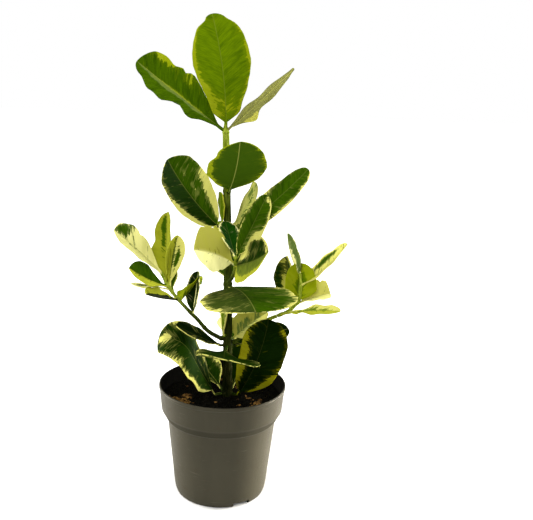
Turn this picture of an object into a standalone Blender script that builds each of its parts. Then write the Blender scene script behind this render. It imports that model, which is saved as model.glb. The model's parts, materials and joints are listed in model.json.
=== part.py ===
"""A young variegated clusia in a round nursery pot.

The pot stands on the ground plane at the origin. The stem rises from the substrate with a slight
lean, carries leaves in crossed pairs, and sends out one bough to the left and one to the right.
"""

import math

import bpy
from mathutils import Matrix, Vector

# Pot, in metres
POT_HEIGHT = 0.155
RIM_RADIUS = 0.085
WALL = 0.0022
COLLAR_FOOT_RADIUS = 0.0815
COLLAR_FOOT_HEIGHT = 0.1215
BODY_TOP_RADIUS = 0.0728
BODY_TOP_HEIGHT = 0.1080
BODY_FOOT_RADIUS = 0.0630
CORNER_HEIGHT = 0.0120
BASE_RADIUS = 0.0577
FLOOR_THICKNESS = 0.0040
RIM_WIDTH = 0.0030
LIP_ROUND = 0.0020
COLLAR_ROUND = 0.0016
SHOULDER_ROUND = 0.0030
MIDDLE_RADIUS = 0.0680
MIDDLE_HEIGHT = 0.0600
FOOT_ROUND = 0.0030
CENTRE_DISC_RADIUS = 0.0300
FOOT_RING_RADIUS = 0.0500
FOOT_RECESS = 0.0012
POT_SIDES = 40
SLOT_COUNT = 3
SLOT_FIRST_AZIMUTH = -61.0
SLOT_WIDTH = 0.0240
SLOT_HEIGHT = 0.0032
SLOT_INNER_RADIUS = 0.0490

# Substrate
SOIL_HEIGHT = 0.1370
CLEAR = 0.0003

# Stem
STEM_SIDES = 12
STEM_FOOT = (0.0066, 0.0, SOIL_HEIGHT + CLEAR)
STEM_TOP = (-0.0032, 0.0, 0.4870)
STEM_BOW = 0.0016
STEM_FOOT_RADIUS = 0.0068
STEM_TOP_RADIUS = 0.0042
ROOT_FLARE = 0.0012
FLARE_HEIGHT = 0.0120

# Limbs: radii at foot and tip, and the level stretch by which each leaves the stem
NECK_RADII = (0.0019, 0.0018, 0.0016)
NECK_SUNK = 0.0012
LEVEL_STRETCH = 0.0030
BOUGH_RADII = (0.0029, 0.0019)
FRONT_SHOOT_RADII = (0.0026, 0.0018)
BACK_SHOOT_RADII = (0.0024, 0.0017)
NECK_SIDES = 6
SHOOT_SIDES = 8
BOUGH_SIDES = 10

# Leaf solid
BLADE_THICKNESS = 0.0018
MARGIN_THICKNESS = 0.0013
PETIOLE_THICKNESS = 0.0028
PETIOLE_HALF_WIDTH = 0.0016
TIP_HALF_WIDTH = 0.0012
PETIOLE_SHARE = 0.07
LEAF_COLUMNS = 4
MIDRIB_STEPS = 24

GREEN = (0.07, 0.16, 0.03, 1.0)
DEEP_GREEN = (0.03, 0.09, 0.03, 1.0)
YELLOW_GREEN = (0.25, 0.33, 0.04, 1.0)
CREAM = (0.72, 0.72, 0.38, 1.0)
BARK = (0.06, 0.07, 0.03, 1.0)
POT_GREY = (0.12, 0.115, 0.10, 1.0)
SOIL_BROWN = (0.015, 0.011, 0.008, 1.0)
ROUGHNESS = 0.5


def clear_scene():
    for old in list(bpy.data.objects):
        bpy.data.objects.remove(old, do_unlink=True)


def make_object(name, points, faces, colour, smooth=True):
    mesh = bpy.data.meshes.new(name)
    mesh.from_pydata([tuple(p) for p in points], [], faces)
    mesh.validate()
    mesh.update()
    material = bpy.data.materials.new(name)
    material.use_nodes = True
    shader = material.node_tree.nodes["Principled BSDF"]
    shader.inputs["Base Color"].default_value = colour
    shader.inputs["Roughness"].default_value = ROUGHNESS
    mesh.materials.append(material)
    for polygon in mesh.polygons:
        polygon.use_smooth = smooth
    made = bpy.data.objects.new(name, mesh)
    bpy.context.scene.collection.objects.link(made)
    return made


def lathe(name, profile, sides, colour):
    """Turns a closed profile of (radius, height) around Z. A radius of zero becomes one point."""
    points = []
    rings = []
    for radius, height in profile:
        if radius == 0.0:
            rings.append([len(points)] * sides)
            points.append(Vector((0.0, 0.0, height)))
        else:
            first = len(points)
            rings.append([first + k for k in range(sides)])
            for k in range(sides):
                turn = 2.0 * math.pi * k / sides
                points.append(Vector((radius * math.cos(turn), radius * math.sin(turn), height)))
    faces = []
    for lower, upper in zip(rings, rings[1:] + rings[:1]):
        if lower[0] == lower[1] and upper[0] == upper[1]:
            continue
        for k in range(sides):
            after = (k + 1) % sides
            corners = [lower[k], lower[after], upper[after], upper[k]]
            faces.append(tuple(dict.fromkeys(corners)))
    return make_object(name, points, faces, colour)


def turned_frame(direction, side, normal, bend, sweep, twist):
    """One small step of the leaf's frame: bend tips it back, sweep sideways, twist about itself."""
    direction, normal = (
        direction * math.cos(bend) - normal * math.sin(bend),
        normal * math.cos(bend) + direction * math.sin(bend),
    )
    direction, side = (
        direction * math.cos(sweep) + side * math.sin(sweep),
        side * math.cos(sweep) - direction * math.sin(sweep),
    )
    side, normal = (
        side * math.cos(twist) + normal * math.sin(twist),
        normal * math.cos(twist) - side * math.sin(twist),
    )
    return direction, side, normal


def outline_width(share, widest, base, tip):
    """Half width of an obovate blade, as a share of its widest, at a share of the leaf's length.

    A small base power gives a broad foot, and a large tip power a blunt end.
    """
    along = min(max((share - PETIOLE_SHARE) / (1.0 - PETIOLE_SHARE), 0.0), 1.0)
    peak = (widest - PETIOLE_SHARE) / (1.0 - PETIOLE_SHARE)
    if along < peak:
        return math.sin(0.5 * math.pi * along / peak) ** base
    return (1.0 - ((along - peak) / (1.0 - peak)) ** tip) ** (1.0 / tip)


def leaf_solid(base, leaf):
    """Points and faces of one closed leaf. Sizes are in metres and angles in degrees."""
    azimuth = math.radians(leaf["azimuth"])
    rise = math.radians(leaf["rise"])
    roll = math.radians(leaf.get("roll", 0.0))
    bend = math.radians(leaf.get("bend", 0.0))
    curl = math.radians(leaf.get("curl", 0.0))
    fold = math.radians(leaf.get("fold", 10.0))
    cup = math.radians(leaf.get("cup", 0.0))
    twist = math.radians(leaf.get("twist", 0.0))
    sweep = math.radians(leaf.get("sweep", 0.0))
    length = leaf["length"]
    width = leaf["width"]
    widest = leaf.get("widest", 0.6)
    base_power = leaf.get("full", 1.2)
    tip_power = leaf.get("tip", 2.2)
    rows = leaf.get("rows", 7)
    if abs(cup) < 0.001:
        cup = 0.001

    outward = Vector((math.cos(azimuth), math.sin(azimuth), 0.0))
    direction = outward * math.cos(rise) + Vector((0.0, 0.0, math.sin(rise)))
    side = Vector((-math.sin(azimuth), math.cos(azimuth), 0.0))
    normal = direction.cross(side)
    side, normal = (
        side * math.cos(roll) + normal * math.sin(roll),
        normal * math.cos(roll) - side * math.sin(roll),
    )

    # March along the midrib in equal steps
    step = 1.0 / MIDRIB_STEPS
    place = Vector(base)
    track = [(place.copy(), direction.copy(), side.copy(), normal.copy())]
    for k in range(MIDRIB_STEPS):
        late = 8.0 * max(0.0, (k + 0.5) * step - 0.5)
        direction, side, normal = turned_frame(
            direction, side, normal, (bend + curl * late) * step, sweep * step, twist * step
        )
        place = place + direction * (length * step)
        track.append((place.copy(), direction.copy(), side.copy(), normal.copy()))

    shares = [0.0] + [
        PETIOLE_SHARE + (1.0 - PETIOLE_SHARE) * (1.0 - (1.0 - k / rows) ** 1.25)
        for k in range(rows + 1)
    ]
    upper = []
    lower = []
    for share in shares:
        index = min(int(share * MIDRIB_STEPS), MIDRIB_STEPS - 1)
        part = share * MIDRIB_STEPS - index
        here, _, across, up = [a.lerp(b, part) for a, b in zip(track[index], track[index + 1])]
        petiole = max(0.0, 1.0 - share / (2.0 * PETIOLE_SHARE))
        least = PETIOLE_HALF_WIDTH if share < 0.5 else TIP_HALF_WIDTH
        for column in range(LEAF_COLUMNS + 1):
            v = 2.0 * column / LEAF_COLUMNS - 1.0
            a = abs(v)
            hand = -1.0 if v < 0.0 else 1.0
            half = 0.5 * width * outline_width(share, widest, base_power, tip_power)
            for lobe_side, lobe_at, lobe_size, lobe_reach in leaf.get("lobes", ()):
                if lobe_side * hand > 0.0:
                    half *= 1.0 + lobe_size * math.exp(-(((share - lobe_at) / lobe_reach) ** 2))
            half = max(half, least)
            reach = (math.sin(fold + cup * a) - math.sin(fold)) / cup
            lift = (math.cos(fold) - math.cos(fold + cup * a)) / cup
            ripple = (
                leaf.get("wave", 0.0) * a * a * math.sin(math.pi * min(1.1 * share, 1.0))
                * math.sin(2.0 * math.pi * leaf.get("waves", 3.0) * share + leaf.get("phase", 0.0)
                           + (1.3 if v < 0.0 else 0.0))
            )
            spot = here + across * (hand * half * reach) + up * (half * lift + ripple)
            tilt = fold + cup * a if a > 0.0 else 0.0
            out = up * math.cos(tilt) - across * (hand * math.sin(tilt))
            blade = BLADE_THICKNESS + (MARGIN_THICKNESS - BLADE_THICKNESS) * a
            thick = blade + (PETIOLE_THICKNESS - blade) * petiole
            upper.append(spot + out * (0.5 * thick))
            lower.append(spot - out * (0.5 * thick))

    wide = LEAF_COLUMNS + 1
    count = len(upper)
    faces = []
    for row in range(len(shares) - 1):
        for column in range(LEAF_COLUMNS):
            a = row * wide + column
            faces.append((a, a + wide, a + wide + 1, a + 1))
            faces.append((count + a, count + a + 1, count + a + wide + 1, count + a + wide))
        left = row * wide
        right = left + LEAF_COLUMNS
        faces.append((left, count + left, count + left + wide, left + wide))
        faces.append((right, right + wide, count + right + wide, count + right))
    last = (len(shares) - 1) * wide
    for column in range(LEAF_COLUMNS):
        faces.append((column, column + 1, count + column + 1, count + column))
        a = last + column
        faces.append((a, count + a, count + a + 1, a + 1))
    return upper + lower, faces


def limb_solid(path, sides):
    """One tapering limb along a path of (place, radius), with flat ends square to the path."""
    points = []
    count = len(path)
    spread = [sum(abs(b[0][i] - a[0][i]) for a, b in zip(path, path[1:])) for i in range(3)]
    reference = Vector([1.0 if i == spread.index(min(spread)) else 0.0 for i in range(3)])
    for k, (place, radius) in enumerate(path):
        before = path[max(k - 1, 0)][0]
        after = path[min(k + 1, count - 1)][0]
        along = (after - before).normalized()
        side = along.cross(reference).normalized()
        other = along.cross(side)
        for s in range(sides):
            turn = 2.0 * math.pi * s / sides
            points.append(place + side * (radius * math.cos(turn)) + other * (radius * math.sin(turn)))
    faces = []
    for k in range(count - 1):
        for s in range(sides):
            t = (s + 1) % sides
            a = k * sides
            b = a + sides
            faces.append((a + s, a + t, b + t, b + s))
    faces.append(tuple(reversed(range(sides))))
    faces.append(tuple(range((count - 1) * sides, count * sides)))
    return points, faces


def spline(knots, share):
    """A smooth curve through the knots, met at equal shares of the whole."""
    spans = len(knots) - 1
    index = min(int(share * spans), spans - 1)
    t = share * spans - index
    b = Vector(knots[index])
    c = Vector(knots[index + 1])
    a = Vector(knots[index - 1]) if index > 0 else b * 2.0 - c
    d = Vector(knots[index + 2]) if index + 2 <= spans else c * 2.0 - b
    return 0.5 * (
        b * 2.0 + (c - a) * t + (a * 2.0 - b * 5.0 + c * 4.0 - d) * t * t
        + (b * 3.0 - a - c * 3.0 + d) * t * t * t
    )


def limb_path(knots, radius_start, radius_end, steps):
    path = []
    for k in range(steps + 1):
        share = k / steps
        path.append((spline(knots, share), radius_start + (radius_end - radius_start) * share))
    return path


def stem_axis(height):
    """Axis of the main stem at a height: a straight lean with a slight bow."""
    share = (height - STEM_FOOT[2]) / (STEM_TOP[2] - STEM_FOOT[2])
    x = STEM_FOOT[0] + (STEM_TOP[0] - STEM_FOOT[0]) * share
    return Vector((x + STEM_BOW * math.sin(math.pi * min(max(share, 0.0), 1.0)), 0.0, height))


def stem_radius(height):
    share = (height - STEM_FOOT[2]) / (STEM_TOP[2] - STEM_FOOT[2])
    flare = ROOT_FLARE * max(0.0, 1.0 - (height - STEM_FOOT[2]) / FLARE_HEIGHT) ** 2
    return STEM_FOOT_RADIUS + (STEM_TOP_RADIUS - STEM_FOOT_RADIUS) * share ** 0.8 + flare


def build_pot():
    inner = RIM_RADIUS - RIM_WIDTH
    chamfer = 0.0008
    profile = [
        (0.0, 0.0),
        (CENTRE_DISC_RADIUS, 0.0),
        (CENTRE_DISC_RADIUS + 0.0020, FOOT_RECESS),
        (FOOT_RING_RADIUS - 0.0020, FOOT_RECESS),
        (FOOT_RING_RADIUS, 0.0),
        (BASE_RADIUS, 0.0),
        (BASE_RADIUS + FOOT_ROUND, 0.0035),
        (BODY_FOOT_RADIUS, CORNER_HEIGHT),
        (MIDDLE_RADIUS, MIDDLE_HEIGHT),
        (BODY_TOP_RADIUS, BODY_TOP_HEIGHT - SHOULDER_ROUND),
        (BODY_TOP_RADIUS + 0.0020, BODY_TOP_HEIGHT + 0.0010),
        (COLLAR_FOOT_RADIUS - 0.0012, COLLAR_FOOT_HEIGHT - 0.0012),
        (COLLAR_FOOT_RADIUS, COLLAR_FOOT_HEIGHT + COLLAR_ROUND),
        (RIM_RADIUS - chamfer, POT_HEIGHT - 0.0050),
        (RIM_RADIUS, POT_HEIGHT - LIP_ROUND),
        (RIM_RADIUS - chamfer, POT_HEIGHT),
        (inner + 0.0006, POT_HEIGHT),
        (inner, POT_HEIGHT - LIP_ROUND),
        (COLLAR_FOOT_RADIUS - WALL, COLLAR_FOOT_HEIGHT + COLLAR_ROUND),
        (BODY_TOP_RADIUS - WALL, BODY_TOP_HEIGHT - 0.0020),
        (BODY_FOOT_RADIUS - WALL, CORNER_HEIGHT),
        (BASE_RADIUS - WALL, FLOOR_THICKNESS),
        (0.0, FLOOR_THICKNESS),
    ]
    pot = lathe("pot", profile, POT_SIDES, POT_GREY)
    cutters = bpy.data.collections.new("slots")
    bpy.context.scene.collection.children.link(cutters)
    depth = 0.5 * (BODY_FOOT_RADIUS - SLOT_INNER_RADIUS)
    for k in range(SLOT_COUNT):
        azimuth = math.radians(SLOT_FIRST_AZIMUTH + 360.0 * k / SLOT_COUNT)
        bpy.ops.mesh.primitive_cube_add(size=2.0)
        cutter = bpy.context.active_object
        cutter.name = f"slot_{k}"
        move = Matrix.Rotation(azimuth, 4, "Z") @ Matrix.Translation(
            (SLOT_INNER_RADIUS + depth, 0.0, 0.0)
        )
        cutter.data.transform(
            move @ Matrix.Diagonal((depth, 0.5 * SLOT_WIDTH, SLOT_HEIGHT, 1.0))
        )
        for owner in list(cutter.users_collection):
            owner.objects.unlink(cutter)
        cutters.objects.link(cutter)
    combine(pot, cutters, "DIFFERENCE")
    return pot


def combine(target, collection, operation, solver="EXACT"):
    """Applies one Boolean with a whole collection, then removes the collection's objects."""
    change = target.modifiers.new("join", "BOOLEAN")
    change.operation = operation
    change.operand_type = "COLLECTION"
    change.collection = collection
    change.solver = solver
    graph = bpy.context.evaluated_depsgraph_get()
    finished = bpy.data.meshes.new_from_object(target.evaluated_get(graph))
    target.modifiers.clear()
    target.data = finished
    for polygon in finished.polygons:
        polygon.use_smooth = True
    for used in list(collection.objects):
        bpy.data.objects.remove(used, do_unlink=True)
    bpy.data.collections.remove(collection)


def build_soil():
    gap = CLEAR
    top = SOIL_HEIGHT
    share = (top - COLLAR_FOOT_HEIGHT) / (POT_HEIGHT - COLLAR_FOOT_HEIGHT)
    spread = RIM_RADIUS - RIM_WIDTH - COLLAR_FOOT_RADIUS + WALL
    inner_top = COLLAR_FOOT_RADIUS - WALL + spread * share
    profile = [
        (0.0, FLOOR_THICKNESS + gap),
        (BASE_RADIUS - WALL - 2.0 * gap, FLOOR_THICKNESS + gap),
        (BODY_FOOT_RADIUS - WALL - 1.5 * gap, CORNER_HEIGHT),
        (BODY_TOP_RADIUS - WALL - 1.5 * gap, BODY_TOP_HEIGHT - 0.0018),
        (COLLAR_FOOT_RADIUS - WALL - 1.5 * gap, COLLAR_FOOT_HEIGHT + 0.0018),
        (inner_top - 2.0 * gap, top - 0.0006),
        (inner_top - 0.0030, top),
        (0.0, top),
    ]
    return lathe("substrate", profile, POT_SIDES, SOIL_BROWN)


def build_stem():
    path = []
    steps = 16
    foot = STEM_FOOT[2]
    for height in (foot, foot + 0.4 * FLARE_HEIGHT):
        path.append((stem_axis(height), stem_radius(height)))
    start = foot + FLARE_HEIGHT
    for k in range(steps + 1):
        height = start + (STEM_TOP[2] - start) * k / steps
        path.append((stem_axis(height), stem_radius(height)))
    points, faces = limb_solid(path, STEM_SIDES)
    return make_object("main_stem", points, faces, BARK)


def stem_foothold(height, azimuth, reach=0.0):
    """A place on the main stem's surface, standing CLEAR of it plus a further reach."""
    turn = math.radians(azimuth)
    outward = Vector((math.cos(turn), math.sin(turn), 0.0))
    return stem_axis(height) + outward * (stem_radius(height - NECK_RADII[0]) + CLEAR + reach)


def build_stem_leaf(name, height, azimuth, leaf, colour, neck):
    """A single leaf on the main stem: a level neck out from the stem, then the leaf fused to it."""
    start = stem_foothold(height, azimuth)
    end = stem_foothold(height, azimuth, neck)
    further = stem_foothold(height, azimuth, neck + NECK_SUNK)
    points, faces = limb_solid(list(zip((start, end, further), NECK_RADII)), NECK_SIDES)
    made = make_object(name, points, faces, colour)
    leaves = bpy.data.collections.new(name + "_leaf")
    bpy.context.scene.collection.children.link(leaves)
    points, faces = leaf_solid(end, leaf)
    piece = make_object(name + "_blade", points, faces, colour)
    bpy.context.scene.collection.objects.unlink(piece)
    leaves.objects.link(piece)
    combine(made, leaves, "UNION")
    return made


def build_mass(name, path, leaves, colour):
    """One stem with its leaves fused on. Each leaf roots on the stem's axis at a share of it."""
    points, faces = limb_solid(path, SHOOT_SIDES)
    made = make_object(name, points, faces, colour)
    group = bpy.data.collections.new(name + "_leaves")
    bpy.context.scene.collection.children.link(group)
    for k, (share, leaf) in enumerate(leaves):
        spot = share * (len(path) - 1)
        index = min(int(spot), len(path) - 2)
        root = path[index][0].lerp(path[index + 1][0], spot - index)
        points, faces = leaf_solid(root, leaf)
        piece = make_object(f"{name}_{k}", points, faces, colour)
        bpy.context.scene.collection.objects.unlink(piece)
        group.objects.link(piece)
    combine(made, group, "UNION", "MANIFOLD")
    return made


# Leaves on the main stem: name, height of the node, azimuth and length of the neck, then the leaf
STEM_LEAVES = (
    ("round_leaf_front", 0.4180, 279, 0.0035, GREEN,
     dict(azimuth=283, rise=34, roll=-3, length=0.114, width=0.073, bend=-17, fold=-2, cup=-6,
          twist=2, sweep=-7, widest=0.58, full=1.00, tip=2.03, wave=0.0008, waves=2.7, phase=0.5)),
    ("round_leaf_back", 0.4200, 99, 0.0035, GREEN,
     dict(azimuth=60, rise=30, length=0.076, width=0.052, bend=14, fold=8, widest=0.56)),
    ("upper_leaf_left", 0.3680, 172, 0.0035, DEEP_GREEN,
     dict(azimuth=183, rise=42, roll=-54, length=0.116, width=0.068, bend=-23, fold=16, sweep=-9,
          widest=0.62, full=0.56, tip=2.10, wave=0.0004, waves=3.5, phase=-1.2)),
    ("upper_leaf_right", 0.3645, 3, 0.0035, DEEP_GREEN,
     dict(azimuth=9, rise=34, roll=47, length=0.125, width=0.036, bend=-16, fold=3, cup=4, twist=-5,
          sweep=6, widest=0.43, full=0.58, tip=2.46)),
    ("narrow_leaf_right", 0.3720, 35, 0.0035, YELLOW_GREEN,
     dict(azimuth=35, rise=42, roll=-65, length=0.067, width=0.033, bend=-22, fold=3, cup=-17,
          twist=-5, sweep=-9, widest=0.53, full=0.68, tip=2.10, wave=0.0016, waves=1.5, phase=2.2,
          rows=6)),
    ("narrow_leaf_left", 0.3745, 225, 0.0030, YELLOW_GREEN,
     dict(azimuth=200, rise=80, roll=4, length=0.044, width=0.020, bend=-8, fold=6, rows=5)),
    ("broad_leaf_front", 0.2925, 283, 0.0035, DEEP_GREEN,
     dict(azimuth=291, rise=17, roll=2, length=0.111, width=0.121, bend=30, fold=2, cup=-3, twist=-1,
          sweep=-9, widest=0.69, full=1.01, tip=2.82)),
    ("broad_leaf_back", 0.2950, 90, 0.0035, DEEP_GREEN,
     dict(azimuth=92, rise=19, length=0.086, width=0.060, bend=10, fold=5, widest=0.58)),
    ("low_leaf_left", 0.2100, 204, 0.0035, DEEP_GREEN,
     dict(azimuth=205, rise=25, roll=-12, length=0.072, width=0.039, bend=-6, fold=2, cup=22,
          twist=-6, sweep=-6, widest=0.57, full=0.76, tip=2.15)),
    ("low_leaf_right", 0.2205, 326, 0.0035, GREEN,
     dict(azimuth=28, rise=39, roll=21, length=0.058, width=0.053, bend=13, fold=20, cup=-9,
          twist=-26, sweep=-9, widest=0.44, full=0.57, tip=2.01, wave=0.002, waves=1.5, phase=1.6)),
    ("low_leaf_front", 0.2092, 261, 0.0035, GREEN,
     dict(azimuth=261, rise=-2, roll=-10, length=0.094, width=0.073, bend=-29, fold=-3, cup=9,
          twist=-1, sweep=15, widest=0.58, full=1.43, tip=2.53, wave=0.0033, waves=2.0, phase=1.6)),
    ("low_leaf_far_right", 0.2060, 30, 0.0035, DEEP_GREEN,
     dict(azimuth=22, rise=12, roll=30, length=0.082, width=0.036, bend=4, fold=12, widest=0.60)),
    ("low_leaf_back", 0.2095, 84, 0.0035, GREEN,
     dict(azimuth=78, rise=12, length=0.086, width=0.056, bend=18, fold=10, widest=0.62)),
    ("inner_leaf", 0.2250, 236, 0.0035, YELLOW_GREEN,
     dict(azimuth=196, rise=84, roll=8, length=0.062, width=0.026, bend=-4, fold=8, rows=6)),
    ("foot_leaf_left", 0.1403, 199, 0.0090, DEEP_GREEN,
     dict(azimuth=197, rise=57, roll=-25, length=0.134, width=0.097, bend=-18, curl=146, fold=2,
          cup=-3, twist=-2, sweep=9, widest=0.48, full=0.81, tip=1.97, wave=0.0005, waves=3.3,
          phase=0.5, rows=12, lobes=((-1, 0.40, -0.24, 0.12), (1, 0.42, -0.16, 0.10)))),
    ("foot_leaf_right", 0.1403, 338, 0.0070, DEEP_GREEN,
     dict(azimuth=326, rise=55, roll=133, length=0.119, width=0.068, bend=33, fold=28, cup=-7,
          twist=-4, sweep=15, widest=0.68, full=0.61, tip=2.17,
          lobes=((-1, 0.32, 0.16, 0.14), (1, 0.84, 0.12, 0.10)))),
    ("foot_leaf_back_right", 0.1415, 62, 0.0050, GREEN,
     dict(azimuth=58, rise=52, length=0.088, width=0.054, bend=12, fold=12, widest=0.60)),
    ("foot_leaf_back_left", 0.1415, 128, 0.0050, GREEN,
     dict(azimuth=126, rise=30, length=0.078, width=0.050, bend=20, fold=10, widest=0.60)),
)

# Shoots with their leaves: share of the way along the shoot, then the leaf rooted there
TOP_LEAVES = (
    (0.27, dict(azimuth=181, rise=36, roll=-41, length=0.139, width=0.070, bend=-4, fold=24, cup=-5,
                twist=-1, sweep=1, widest=0.64, full=1.12, tip=2.16, rows=12,
                lobes=((-1, 0.72, -0.20, 0.07), (1, 0.34, 0.30, 0.06), (1, 0.53, -0.3, 0.08),
                       (1, 0.66, 0.15, 0.06)))),
    (0.32, dict(azimuth=357, rise=44, roll=-29, length=0.115, width=0.041, bend=-2, fold=4, cup=-19,
                twist=11, sweep=1, widest=0.47, full=0.63, tip=2.24, wave=0.0008, waves=2.7,
                phase=0.6, rows=9, lobes=((1, 0.3, 0.8, 0.08),))),
    (0.38, dict(azimuth=111, rise=91, roll=1, length=0.1435, width=0.074, bend=15, fold=7, cup=-1,
                twist=-6, sweep=12, widest=0.63, full=0.74, tip=1.83, rows=11,
                lobes=((1, 0.15, 0.35, 0.06), (-1, 0.15, 0.35, 0.06)))),
)
FRONT_SHOOT_LEAVES = (
    (0.80, dict(azimuth=219, rise=38, roll=-62, length=0.068, width=0.064, bend=20, fold=26, cup=-4,
                twist=1, sweep=19, widest=0.75, full=1.15, tip=2.24, wave=0.0004, waves=3.4,
                phase=1.1)),
    (0.78, dict(azimuth=310, rise=16, roll=52, length=0.081, width=0.066, bend=-23, fold=15, cup=1,
                twist=7, sweep=8, widest=0.44, full=0.73, tip=1.95, wave=0.0006, waves=2.8,
                phase=0.2)),
    (0.97, dict(azimuth=128, rise=59, roll=13, length=0.049, width=0.035, bend=4, fold=8, cup=1,
                twist=-5, sweep=-8, widest=0.67, full=1.10, tip=1.96, wave=0.0006, waves=3.0,
                phase=-0.8, rows=6)),
    (0.96, dict(azimuth=48, rise=50, roll=54, length=0.093, width=0.033, bend=3, fold=23, cup=-3,
                twist=2, sweep=2, widest=0.49, full=0.57, tip=2.16, wave=0.0006, waves=3.3,
                phase=0.4)),
)
BACK_SHOOT_LEAVES = (
    (0.72, dict(azimuth=138, rise=48, roll=20, length=0.041, width=0.030, bend=16, fold=14, rows=5)),
    (0.74, dict(azimuth=38, rise=44, roll=-20, length=0.043, width=0.032, bend=16, fold=14, rows=5)),
    (0.97, dict(azimuth=118, rise=52, length=0.046, width=0.030, bend=18, fold=14, rows=5)),
    (0.96, dict(azimuth=66, rise=40, length=0.052, width=0.034, bend=14, fold=12, rows=5)),
)
LEFT_SHOOT_LEAVES = (
    (0.13, dict(azimuth=75, rise=66, roll=-34, length=0.058, width=0.031, bend=1, fold=26, cup=-8,
                twist=-4, sweep=4, widest=0.51, full=0.82, tip=2.12, rows=6)),
    (0.43, dict(azimuth=59, rise=28, roll=-40, length=0.048, width=0.041, bend=24, fold=21, cup=6,
                sweep=9, widest=0.68, full=0.56, tip=1.95, wave=0.0018, waves=1.3, phase=5.0,
                rows=6)),
    (0.46, dict(azimuth=221, rise=13, roll=-15, length=0.060, width=0.030, bend=-14, fold=38, cup=-12,
                twist=6, sweep=8, widest=0.53, full=1.33, tip=2.52, wave=0.0007, waves=3.7, phase=0.2,
                rows=6)),
    (0.70, dict(azimuth=85, rise=71, roll=24, length=0.070, width=0.030, bend=-26, fold=33, cup=3,
                twist=3, sweep=-4, widest=0.69, full=0.99, tip=2.03)),
    (0.72, dict(azimuth=216, rise=21, roll=-44, length=0.067, width=0.037, bend=-11, fold=25, cup=-6,
                twist=-1, sweep=-14, widest=0.70, full=1.49, tip=1.91, rows=6)),
    (0.66, dict(azimuth=190, rise=16, roll=12, length=0.052, width=0.028, bend=10, fold=5, cup=-17,
                twist=-6, sweep=11, widest=0.71, full=1.09, tip=2.91, wave=0.0009, waves=2.6,
                phase=-1.1, rows=5)),
    (0.80, dict(azimuth=90, rise=67, roll=-47, length=0.094, width=0.040, bend=5, fold=27, cup=-1,
                twist=-1, sweep=8, widest=0.47, full=0.58, tip=2.24, wave=0.0003, waves=2.0,
                phase=3.5, rows=9, lobes=((1, 0.45, 0.22, 0.06),))),
    (0.97, dict(azimuth=197, rise=49, roll=-39, length=0.088, width=0.040, bend=3, fold=22, cup=-9,
                twist=8, sweep=10, widest=0.75, full=0.83, tip=2.70, wave=0.0003, waves=3.5,
                phase=0.1, lobes=((-1, 0.72, 0.30, 0.12), (-1, 0.42, 0.30, 0.14)))),
    (0.60, dict(azimuth=112, rise=62, length=0.044, width=0.022, bend=10, fold=14, rows=5)),
)
RIGHT_SHOOT_LEAVES = (
    (0.07, dict(azimuth=321, rise=23, roll=5, length=0.098, width=0.026, bend=13, fold=10, cup=-4,
                twist=13, sweep=-5, widest=0.61, full=1.47, wave=0.0022, waves=2.9, phase=4.3,
                rows=9)),
    (0.30, dict(azimuth=81, rise=49, roll=-35, length=0.076, width=0.045, bend=-20, fold=32, cup=5,
                twist=-13, sweep=6, widest=0.61, full=0.91, tip=1.91, wave=0.0005, waves=2.9,
                phase=0.5)),
    (0.46, dict(azimuth=74, rise=74, roll=27, length=0.054, width=0.054, bend=-2, fold=36, cup=6,
                twist=-15, sweep=-3, widest=0.43, full=0.81, tip=2.33)),
    (0.44, dict(azimuth=3, rise=26, roll=28, length=0.048, width=0.044, bend=14, fold=40, cup=5,
                twist=14, sweep=-5, widest=0.76, full=1.48, wave=0.0009, waves=3.2, phase=0.4)),
    (0.76, dict(azimuth=4, rise=31, roll=6, length=0.083, width=0.043, bend=-26, fold=20, cup=-8,
                twist=-7, widest=0.48, full=0.55, tip=1.97, wave=0.0007, waves=2.4, phase=-1.1)),
    (0.96, dict(azimuth=163, rise=55, roll=42, length=0.058, width=0.032, bend=-26, fold=25, cup=-8,
                twist=-10, sweep=12, widest=0.50, full=0.58, rows=6)),
    (0.50, dict(azimuth=84, rise=16, length=0.052, width=0.030, bend=18, fold=14, rows=5)),
)


def stem_limb(height, azimuth, knots, radii, steps):
    """A limb that leaves the main stem level and then passes through the knots."""
    foot = (stem_foothold(height, azimuth), radii[0])
    start = stem_foothold(height, azimuth, LEVEL_STRETCH)
    return [foot] + limb_path([start] + list(knots), radii[0], radii[1], steps)


def split_limb(path, index):
    """The bough up to a point, and the shoot from just beyond it."""
    bough = path[: index + 1]
    place, radius = path[index]
    along = (path[index + 1][0] - place).normalized()
    shoot = [(place + along * CLEAR, radius)] + path[index + 1:]
    return bough, shoot


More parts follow.
